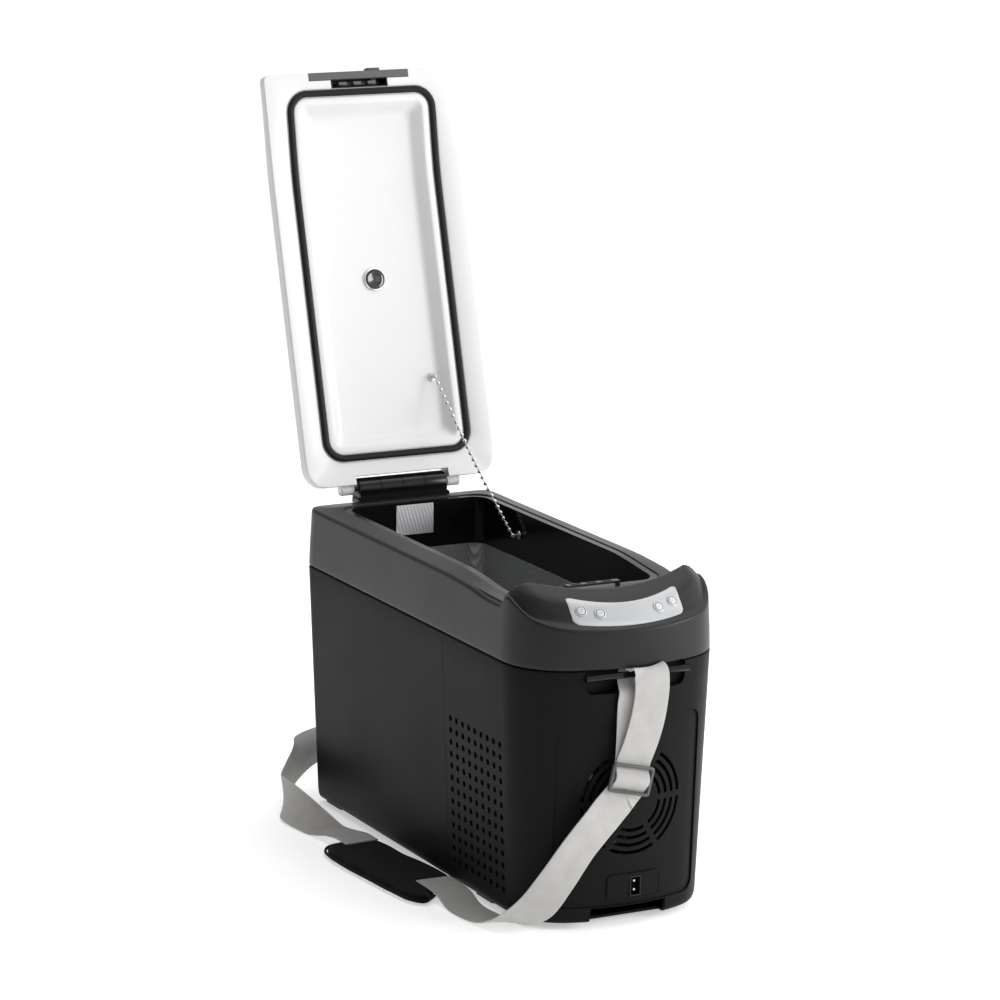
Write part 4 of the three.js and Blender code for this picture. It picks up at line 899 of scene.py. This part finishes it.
LID_LIFT = 1.2  # the lid's underside over the rim when it is closed
PLATE = 3.2
DISH_DEEP = 12.4


def pin_hole():
    return rod((-90, HINGE_Y, HINGE_Z), (90, HINGE_Y, HINGE_Z), PIN_BORE)


def lid_crown(down):
    return lambda x, y: LID_TOP - 0.9 * dip(y) - down


FRONT_RUN, REAR_RUN = 18, 10


def capped(rings):
    """A lofted solid whose two end rings are filled by strips from side to side."""
    faces = ring_faces(len(rings), COUNT)
    last = HALF - REAR_RUN
    for k in (0, len(rings) - 1):
        start = k * COUNT
        faces.append(tuple(start + i % COUNT for i in range(COUNT - FRONT_RUN, COUNT + FRONT_RUN + 1)))
        faces.append(tuple(start + i for i in range(last, COUNT - last + 1)))
        for i in range(FRONT_RUN, last):
            faces.append((start + i, start + i + 1, start + COUNT - i - 1, start + COUNT - i))
    return mesh_object([p for ring in rings for p in ring], faces)


def inner_ring(grow, height):
    """A rounded rectangle inside the opening's own, which keeps a corner radius."""
    r = max(CORE_R + grow, 7.0)
    half_x = OPEN_HW + grow - r
    middle = (CORE_Y0 + CORE_Y1) / 2
    half_y = (CORE_Y1 - CORE_Y0) / 2 + CORE_R + grow - r
    ring = []
    for cx, cy, dx, dy in SPOKES:
        x = cx / CORE_HW * half_x + dx * r
        y = middle + (cy - middle) / ((CORE_Y1 - CORE_Y0) / 2) * half_y + dy * r
        ring.append((x, y, height(x, y)))
    return ring


def make_lid():
    insets = (0, 0.2, 0.6, 0.9, 1.6, 3.4, 5.5, 8.0, 12.0, 20.0, 34.0)
    edge = {inset: reach(lid_plan(inset)) for inset in insets}
    seat = over_rim(LID_LIFT + PLATE + 0.3)
    cover = [inner_ring(-20, seat), inner_ring(SEAT_W, seat)]
    cover += [lay(edge[0.9], seat), lay(edge[0], over_rim(LID_LIFT + PLATE + 0.9))]
    crown = [(0, 10), (0, 8), (0.2, 6.3), (0.9, 4.4), (1.6, 3.3), (3.4, 1.8), (5.5, 1.0), (8.0, 0.5)]
    for inset, down in [*crown, (12.0, 0.25), (20.0, 0.1), (34.0, 0)]:
        cover.append(lay(edge[inset], lid_crown(down)))
    shell = capped(cover)
    boolean(shell, dish_solid(2.6))
    for side in (-1, 1):
        x0, x1 = sorted((side * 58.2, side * 74))
        boolean(shell, box(x0, x1, LID_Y0 - 4, HINGE_Y, HINGE_Z - 5.4, HINGE_Z + 4), "UNION")
        knuckle = [(0, 5.2), (0.8, 6.0), (15.0, 6.0), (15.8, 5.2)]
        ends = [(x, HINGE_Y, HINGE_Z) for x in (x0, x1)]
        boolean(shell, turned(*ends, knuckle, 32), "UNION")

    # room for the hinge barrel, the latch strip and the latch housing
    rooms = [
        box(-57.8, 57.8, HINGE_Y - 14.3, 300, 300, 400),
        box(-62.3, 62.3, -300, LID_Y1 + 9.5, 300, 351.6),
        box(-35.3, 35.3, -185.5, -175.3, 300, 350.9),
    ]
    for room in rooms:
        boolean(shell, room, keep=True)
    boolean(shell, pin_hole())
    finish_piece(shell, "lid_cover", "lid", "white", ["lid_shell"])

    plate = [
        (edge[0.2], LID_LIFT + PLATE), (edge[0], LID_LIFT + PLATE - 0.4), (edge[0], LID_LIFT + 1.1),
        (edge[0.2], LID_LIFT + 0.5), (edge[0.6], LID_LIFT + 0.15), (edge[1.6], LID_LIFT),
        (opening_reach(SEAT_W + 2.4), LID_LIFT), (opening_reach(SEAT_W + 1.0), LID_LIFT + 0.35),
        (opening_reach(SEAT_W + 0.4), LID_LIFT + 1.0), (opening_reach(SEAT_W + 0.4), 2.3),
        (opening_reach(0.0), 2.3), (opening_reach(0.0), LID_LIFT + 1.0),
        (opening_reach(-0.7), LID_LIFT + 0.3), (opening_reach(-2.0), LID_LIFT),
    ]
    rings = [lay(distance, over_rim(up)) for distance, up in plate]
    closing = capped([*dish_rings(0)[::-1], *rings[::-1], *dish_rings(2.4)])
    for room in rooms:
        boolean(closing, room)
    finish_piece(closing, "lid_inner", "lid", "white", ["lid_liner"])

    section = [
        (7.9, 1.7), (8.1, 0.4), (7.6, -0.7), (6.4, -1.4), (4.6, -1.7), (2.6, -1.4), (1.0, -0.7), (0.5, 0.4),
        (0.7, 1.7),
    ]
    seal = torus([lay(opening_reach(grow), over_rim(up)) for grow, up in section])
    finish_piece(seal, "lid_seal", "lid", "gasket", ["lid_gasket"])


DISH_STEPS = [
    (-7.0, 0.0), (-7.8, 0.12), (-8.8, 0.6), (-10.0, 1.7), (-16.2, 8.6),
    (-17.6, 10.2), (-19.2, 11.4), (-21.0, 12.1), (-23.5, DISH_DEEP),
]


def dish_rings(thick):
    """Rings down the side of the lid's recess to its flat ceiling."""
    shift = thick * 0.75
    return [inner_ring(grow + shift, over_rim(LID_LIFT + high + thick)) for grow, high in DISH_STEPS]


def dish_solid(thick):
    return capped([inner_ring(-6.0, over_rim(-4.0)), *dish_rings(thick)])


# --- hinge, latch and badge ---
def make_hinge():
    barrel_r = 12.5
    profile_points = [(0, 11.6), (0.7, 12.3), (1.6, barrel_r)]
    length = 109.0
    for k in range(1, 4):
        at = length * k / 4
        profile_points += [(at - 0.5, barrel_r), (at, barrel_r - 0.7), (at + 0.5, barrel_r)]
    profile_points += [(length - 1.6, barrel_r), (length - 0.7, 12.3), (length, 11.6)]
    barrel = turned((-54.5, HINGE_Y, HINGE_Z), (54.5, HINGE_Y, HINGE_Z), profile_points, 56)
    boolean(barrel, tablet(-54.3, 54.3, 339, HINGE_Z, 3, HINGE_Y - 12.5, HINGE_Y + 3, 5), "UNION")
    boolean(barrel, tablet(-57, 57, 338, 348.6, 3, HINGE_Y - 13.5, HINGE_Y + 3.6, 5), "UNION")
    boolean(barrel, rim_block(0.3, 150.0))
    boolean(barrel, pin_hole())
    finish_piece(barrel, "hinge_barrel", "body", "black", ["hinge_bracket"])


def make_latch():
    trim = tablet(-62, 62, 330, 351.2, 1.6, LID_Y1 + 0.2, LID_Y1 + 9, 6)
    boolean(trim, rim_block(LID_LIFT, 150.0))
    boolean(trim, box(17.4, 31.6, -300, -183.6, 344.5, 348.9))
    boolean(trim, box(-35.3, 35.3, -185.5, 0, 300, 400))
    finish_piece(trim, "latch_strip", "lid", "grey", ["latch_trim"])
    hook_y = (-182.1, -178.9)
    parts = [box(-25, 24, *hook_y, 345, 348.4), box(18, 24, LID_Y1 - 1.6, hook_y[1], 345, 348.4)]
    for x in (-25, -7, 11):
        parts.append(box(x, x + 4, *hook_y, 338.2, 348.4))
        parts.append(box(x, x + 9.4, *hook_y, 338.2, 340.4))
    parts.append(tablet(13, 29, 341, 351.4, 1.6, LID_Y1 - 2.2, LID_Y1 - 0.5, 5))
    for i in range(6):
        ring = rounded_rect(13.4 + 2.7 * i, 14.8 + 2.7 * i, 341.4, 351, 0.6, 4)
        parts.append(facing(ring, LID_Y1 - 3.4, LID_Y1 - 2))
    finish_piece(join(parts), "latch_pad", "latch", "grey", ["latch_slider"])


def make_badge():
    """A plain black disc with a fine raised ring, in a bright rim."""
    y, top = 41.0, RIM_IN_Z + LID_LIFT + DISH_DEEP - 0.3
    down = Vector((0, 0, -1))
    start = Vector((0, y, top))
    disc = [(0, 11.2), (1.2, 11.2), (1.5, 11.0), (1.75, 10.4), (1.95, 8.6), (1.75, 8.2), (1.75, 0.05)]
    finish_piece(turned(start, start + down, disc, 64), "badge_disc", "lid", "badge", ["lid_badge"])
    rim = [(0, 12.8), (1.5, 12.8), (2.1, 12.5), (2.3, 12.1), (2.1, 11.6), (0.2, 11.45)]
    ring = turned(start, start + down, rim, 64)
    boolean(ring, rod(start - down * 5, start + down * 9, 11.4, 64))
    finish_piece(ring, "badge_rim", "lid", "chrome", ["badge_ring"])


# --- ball chain ---
EYELET = Vector((58, 157, 350.4))
ANCHOR = Vector((OPEN_HW - 6.2, 143, 318))


def make_chain():
    low, high = OPEN_TURN @ EYELET, ANCHOR + Vector((-1.9, 0, 0.4))
    count, sag = 26, 5.0
    at = [i / count for i in range(count + 1)]
    points = [low.lerp(high, t) - Vector((0, 0, 4 * sag * t * (1 - t))) for t in at]
    bm = bmesh.new()
    for p in points:
        bmesh.ops.create_uvsphere(bm, u_segments=14, v_segments=9, radius=2.4, matrix=Matrix.Translation(p))
    for a, b in zip(points, points[1:]):
        link = {"segments": 8, "radius1": 0.6, "radius2": 0.6, "depth": (b - a).length}
        bmesh.ops.create_cone(bm, cap_ends=True, matrix=between(a, b), **link)
    chain = from_bmesh("bead_chain", bm)
    chain.data.transform(TO_METRES)
    dress(chain, "steel", angle=None)
    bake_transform(chain)
    stand_in(["ball_chain"])

    stud = [
        (0, 4.4), (0.5, 4.9), (1.1, 4.7), (1.6, 3.4), (2.0, 1.6), (5.4, 1.5), (5.9, 2.4), (6.8, 2.8),
        (7.6, 2.2), (8.0, 0.4),
    ]
    in_bin = turned(ANCHOR + Vector((6.2 - 0.3, 0, 0)), ANCHOR, stud, 32)
    finish_piece(in_bin, "chain_stud_bin", "body", "steel", ["chain_anchor_bin"])
    in_lid = turned((EYELET.x, EYELET.y, 358.4), EYELET, stud, 32)
    finish_piece(in_lid, "chain_stud_lid", "lid", "steel", ["chain_eyelet_lid"])


# --- inlet ---
def make_inlet():
    low, high = (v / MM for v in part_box("dc_inlet"))
    body = tablet(low.x, high.x, low.z, high.z, 1.0, low.y, high.y, 5)
    boolean(body, tablet(low.x + 1.4, high.x - 1.4, low.z + 1.6, high.z - 1.6, 0.8, low.y - 9, low.y + 12, 5))
    finish_piece(body, "inlet_body", "body", "black", ["dc_inlet"])
    zone = tablet(-27, 37, 27, 56, 5, *FRONT_CUT, 8)
    boolean(zone, body_solid(0.4), "INTERSECT")
    boolean(zone, body_solid(1.75))
    inner = tablet(-24.6, 34.6, 29.4, 53.6, 3.4, *FRONT_CUT, 8)
    boolean(inner, body_solid(0.9))
    boolean(zone, tablet(-40, 50, 10, 70, 5, -325, -283.9, 8))
    boolean(zone, inner)
    boolean(zone, tablet(*SOCKET_HOLE, -325, -240, 4))
    finish_piece(zone, "inlet_plate", "body", "charcoal", ["socket_plate"])


make_shells()
make_frame()
make_panel()
make_bin()
make_lid()
make_hinge()
make_latch()
make_badge()
make_chain()
make_inlet()


# --- carrying strap ---
WEB_W, WEB_T = 40.0, 1.6
BUCKLE = Vector((-13, -293, 163))
TILT = 0.24
ALONG_BAR = (math.cos(TILT), 0, -math.sin(TILT))
ACROSS = (1, 0, 0)


def on_buckle(v, dy):
    """A station of the webbing at height v on the tilted buckle, dy behind its middle."""
    return (BUCKLE.x + v * math.sin(TILT), BUCKLE.y + dy, BUCKLE.z + v * math.cos(TILT)), ALONG_BAR


PASS = [
    (19, 3.3), (15.5, 3.5), (12.4, 3.2), (7.2, 0), (2.2, -3.2), (0, -3.5), (-2.2, -3.2), (-7.2, 0),
    (-12.4, 3.2),
]
FRONT_WEB = [
    on_buckle(8, 6.2), on_buckle(17, 6.4), ((-7.5, -286.6, 205), (0.99, 0, -0.1)),
    ((-6, -285.4, 240), (1, 0, -0.06)), (-4, -284.8, 252), (-1, -276.6, 262), (2, -273.2, 268.5),
    (4, -275.4, 273.9), (5, -280, 275.4), (6, -284.6, 275.9), (7, -288, 277), (8.5, -291.2, 274),
    (10, -292.4, 262), ((6.5, -293, 232), (1, 0, -0.08)), ((-2, -293.4, 203), (0.98, 0, -0.16)),
    *[on_buckle(v, dy) for v, dy in PASS], ((-20.5, -289.7, 148.2), (0.95, 0, -0.31)),
    ((-25.5, -289.6, 143), (0.91, 0, -0.42)), ((-35, -290.6, 134.6), (0.86, 0, -0.51)),
    ((-50, -293.4, 121.5), (0.81, 0, -0.58)), ((-72, -293, 98), (0.78, 0, -0.62)),
    ((-93, -285, 64), (0.79, -0.1, -0.6)), ((-107, -268, 33), (0.85, -0.25, -0.45)),
    ((-116, -240, 12.5), (0.93, -0.3, -0.2)), ((-125, -212, 4), (0.96, -0.26, -0.02)),
    ((-131, -178, 2.4), (1, -0.08, 0)), (-131, -150, 3), (-130.5, -130, 9), (-130, -112, 11),
    ((-129, -76, 10.8), (1, 0.05, 0)),
]
REAR_WEB = [
    (-2, 287.8, 244), (0, 284.8, 252), (0, 276, 262), (0, 271.4, 268.5), (0, 273, 274.4), (0, 277.6, 275.9),
    (0, 284, 276.4), (0, 290.8, 272), (-3, 292.4, 250), ((-16, 293, 200), (0.96, 0, 0.28)),
    ((-42, 296, 140), (0.86, 0, 0.5)), ((-74, 300, 84), (0.72, 0.06, 0.69)),
    ((-106, 302, 48), (0.5, 0.2, 0.84)), ((-134, 284, 29), (0.2, 0.2, 0.95)),
    ((-156, 248, 24), (-0.1, 0.1, 0.99)), ((-164, 214, 20.5), (0.5, 0, 0.86)),
    ((-157, 178, 11.5), (0.9, 0, 0.42)), ((-149, 146, 5.4), (1, 0, 0.1)), (-145, 118, 9), (-142, 98, 11),
    (-141, 74, 10.8),
]


def spline(points, t):
    """A point on the centripetal curve through points, and its tangent, at t from 0 to 1."""
    last = len(points) - 1
    at = t * last
    k = min(last - 1, int(at))
    w = at - k
    p1, p2 = points[k], points[k + 1]
    p0 = points[k - 1] if k else p1 * 2 - p2
    p3 = points[k + 2] if k + 2 <= last else p2 * 2 - p1
    d0, d1, d2 = ((b - a).length ** 0.5 for a, b in ((p0, p1), (p1, p2), (p2, p3)))
    m1 = ((p1 - p0) / d0 - (p2 - p0) / (d0 + d1) + (p2 - p1) / d1) * d1
    m2 = ((p2 - p1) / d1 - (p3 - p1) / (d1 + d2) + (p3 - p2) / d2) * d1
    c2, c3 = (p2 - p1) * 3 - m1 * 2 - m2, (p1 - p2) * 2 + m1 + m2
    return p1 + m1 * w + c2 * w * w + c3 * w**3, (m1 + c2 * 2 * w + c3 * 3 * w * w).normalized()


UPPER_SECTION = [
    (-0.5, 0), (-0.497, 0.3), (-0.488, 0.46), (-0.47, 0.5), (-0.25, 0.5), (0, 0.5), (0.25, 0.5), (0.47, 0.5),
    (0.488, 0.46), (0.497, 0.3),
]
WEB_SECTION = UPPER_SECTION + [(-a, -b) for a, b in UPPER_SECTION]


def web_frames(stations, steps):
    """Centre, across and normal directions along a strap, and the length run so far.

    A station is a point and the direction across the strap, or a point alone where that is X.
    """
    stations = [at if isinstance(at[0], tuple) else (at, ACROSS) for at in stations]
    points = [Vector(p) for p, _ in stations]
    rows, run, last = [], 0.0, None
    for i in range(steps + 1):
        t = i / steps
        p, along = spline(points, t)
        at = t * (len(stations) - 1)
        k = min(len(stations) - 2, int(at))
        across = Vector(stations[k][1]).lerp(Vector(stations[k + 1][1]), at - k)
        across = (across - along * across.dot(along)).normalized()
        run += (p - last).length if last else 0.0
        last = p
        rows.append((p, across, along.cross(across).normalized(), run))
    return rows


def make_web(name, node, stations, steps):
    rows = web_frames(stations, steps)
    rings = [
        [p + across * (a * WEB_W) + normal * (b * (WEB_T - 0.1)) for a, b in WEB_SECTION]
        for p, across, normal, _ in rows
    ]
    count = len(WEB_SECTION)
    web = loft(rings)
    layer = web.data.uv_layers.new(name="along")
    for loop in web.data.loops:
        row, k = divmod(loop.vertex_index, count)
        layer.data[loop.index].uv = (rows[row][3] * MM, WEB_SECTION[k][0] * WEB_W * MM)
    finish_piece(web, name, "body", "webbing", [node], angle=60)
    return rows


def seam(name, rows, start, stop):
    """A sewn rectangle with a cross, as dashes of thread on the outer face of a strap."""
    part = [r for r in rows if start <= r[3] <= stop]
    first, last = part[0][3], part[-1][3]

    def place(u, v):
        s = first + u * (last - first)
        k = min(range(len(part)), key=lambda i: abs(part[i][3] - s))
        p, across, normal, _ = part[k]
        side = normal if normal.z > 0 else -normal
        return p + across * v + side * (WEB_T / 2 + 0.02)

    bm = bmesh.new()
    corners = [(0, -16), (1, -16), (1, 16), (0, 16), (0, -16), (1, 16), (0, 16), (1, -16)]
    for (u0, v0), (u1, v1) in zip(corners, corners[1:]):
        reach_u = (u1 - u0) * (last - first)
        dashes = max(2, round(math.hypot(reach_u, v1 - v0) / 3.2))
        for k in range(dashes):
            a = place(u0 + (u1 - u0) * (k + 0.14) / dashes, v0 + (v1 - v0) * (k + 0.14) / dashes)
            b = place(u0 + (u1 - u0) * (k + 0.86) / dashes, v0 + (v1 - v0) * (k + 0.86) / dashes)
            if (b - a).length < 0.4:
                continue
            stitch = between(a, b) @ Matrix.Diagonal((0.34, 0.34, (b - a).length / 2, 1))
            bmesh.ops.create_uvsphere(bm, u_segments=6, v_segments=5, radius=1, matrix=stitch)
    finish_piece(from_bmesh(name, bm), name, "body", "webbing", material="stitch")


def make_buckle():
    outer = [(-2.0, 1.0), (-1.75, 0.4), (-1.2, 0.0), (1.2, 0.0), (1.75, 0.4), (2.0, 1.0)]
    rings = []
    for y, grow in outer:
        half_x, half_z = 24.5 - grow, 15.5 - grow
        rings.append(stood(rounded_rect(-half_x, half_x, -half_z, half_z, 3.4 - grow, 6), y))
    glide = loft(rings)
    for z0 in (2.2, -12.2):
        rings = []
        for y, grow in ((-2.6, -1.1), (-1.9, -0.7), (-1.1, 0.0), (1.1, 0.0), (1.9, -0.7), (2.6, -1.1)):
            rings.append(stood(rounded_rect(-21 + grow, 21 - grow, z0 + grow, z0 + 10 - grow, 2.0, 5), y))
        boolean(glide, loft(rings))
    glide.data.transform(Matrix.Translation(BUCKLE) @ Matrix.Rotation(TILT, 4, "Y"))
    finish_piece(glide, "tri_glide", "body", "grey", ["strap_buckle"])


# --- shoulder pad ---
PAD_PLAN = [
    (-187, 58), (-183, 80), (-170, 94), (-122, 92), (-115, 70), (-113, 29), (-108, 0), (-104, -45),
    (-106, -66), (-128, -92), (-150, -117), (-164, -126), (-174, -112), (-179, -80), (-184, -20), (-187, 20),
]
PAD_CENTRE = (-146, -12)
PAD_TOP = 9.6


def closed_plan(points, fine=8):
    ring, n = [], len(points)
    for i in range(n):
        four = [Vector((*points[(i + k - 1) % n], 0)) for k in range(4)]
        for j in range(fine):
            p, _ = spline(four, (1 + j / fine) / 3)
            ring.append((p.x, p.y))
    return ring


def pad_rings(levels, plan_ring):
    cx, cy = PAD_CENTRE
    return [[(cx + (x - cx) * k, cy + (y - cy) * k, z) for x, y in plan_ring] for z, k in levels]


def make_pad():
    ring = closed_plan(PAD_PLAN)
    levels = [(0.5, 0.955), (1.2, 0.975), (2.6, 0.99), (6.6, 0.99), (8.4, 0.972), (9.2, 0.95)]
    pad = loft(pad_rings(levels, ring))
    pad.name = pad.data.name = "shoulder_cushion"
    pad.data.transform(TO_METRES)
    step = pad.modifiers.new("grid", "REMESH")
    step.mode = "VOXEL"
    step.voxel_size = 0.0045
    apply_all(pad)
    start = [v.co.copy() for v in pad.data.vertices]
    most = 0.002  # the padding may move its cover this far, in metres
    step = pad.modifiers.new("fill", "CLOTH")
    step.settings.use_pressure = True
    step.settings.uniform_pressure_force = 4.0
    step.settings.effector_weights.gravity = 0.0
    step.settings.quality = 6
    for at in range(1, 21):
        bpy.context.scene.frame_set(at)
    apply_all(pad)
    bpy.context.scene.frame_set(1)
    for v, old in zip(pad.data.vertices, start):
        move = v.co - old
        if move.length > most:
            move *= most / move.length
        v.co = old + move
        v.co.z = min(max(v.co.z, 0.0004), PAD_TOP * MM)
    step = pad.modifiers.new("fine", "SUBSURF")
    step.levels = step.render_levels = 1
    apply_all(pad)
    dress(pad, "fabric", angle=None)
    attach(pad, "body")
    stand_in(["shoulder_pad"])

    cx, cy = PAD_CENTRE
    line = [Vector((cx + (x - cx) * 0.992, cy + (y - cy) * 0.992, 4.6)) for x, y in ring]
    rings = []
    for i, p in enumerate(line):
        along = (line[(i + 1) % len(line)] - line[i - 1]).normalized()
        out = along.cross(Vector((0, 0, 1)))
        rings.append([p + out * (1.5 * c) + Vector((0, 0, 1.9 * s)) for c, s in circle(10)])
    finish_piece(torus(rings), "cushion_binding", "body", "fabric", angle=80)


make_buckle()
front_rows = make_web("webbing_front", "strap_web_front", FRONT_WEB, 330)
rear_rows = make_web("webbing_rear", "strap_web_rear", REAR_WEB, 230)
seam("thread_front", front_rows, front_rows[-1][3] - 42, front_rows[-1][3] - 10)
seam("thread_rear", rear_rows, rear_rows[-1][3] - 30, rear_rows[-1][3] - 6)
make_pad()


# --- nodes that keep their CAD shape ---
for row in frame["record"]["subparts"]:
    if row["node"] not in STOOD_IN_FOR:
        dress(frame["nodes"][row["node"]], row["material_slot"])


# --- floor and light ---
def make_stage():
    floor = mesh_object([(-40, -40, 0), (40, -40, 0), (40, 40, 0), (-40, 40, 0)], [(0, 1, 2, 3)], "floor")
    tree, shader = new_material("floor")
    slow = noise(tree, coordinates(tree), 1.5)
    tree.links.new(ramp(tree, slow, (0.90, 0.90, 0.90), (0.92, 0.92, 0.92)), shader.inputs["Base Color"])
    shader.inputs["Roughness"].default_value = 0.9
    shader.inputs["Specular IOR Level"].default_value = 0.1
    shader.inputs["Emission Color"].default_value = (1, 1, 1, 1)
    shader.inputs["Emission Strength"].default_value = 0.44
    floor.data.materials.append(MATERIALS["floor"])
    world = bpy.data.worlds.new("studio")
    world.use_nodes = True
    tree = world.node_tree
    room = add(tree, "SeparateXYZ", [(coordinates(tree, "Generated"), "Vector")])
    sky = tree.nodes["Background"].inputs
    sky["Color"].default_value = (1, 1, 1, 1)
    tree.links.new(spread(tree, room.outputs["X"], 0.06, 1.25, -1, 1), sky["Strength"])
    bpy.context.scene.world = world
    bpy.context.scene.view_settings.view_transform = "Standard"
    for name, place, size, power in (
        ("overhead", (0.3, 0.2, 2.5), 2.2, 22),
        ("front", (0.9, -3.4, 2.0), 1.4, 5),
        ("side", (2.2, -1.7, 1.1), 1.3, 44),
    ):
        data = bpy.data.lights.new(name, "AREA")
        data.size = size
        data.energy = power
        lamp = linked(name, data)
        lamp.location = place
        aim = Vector((0, 0, 0.3)) - lamp.location
        lamp.rotation_euler = aim.to_track_quat("-Z", "Y").to_euler()


make_stage()
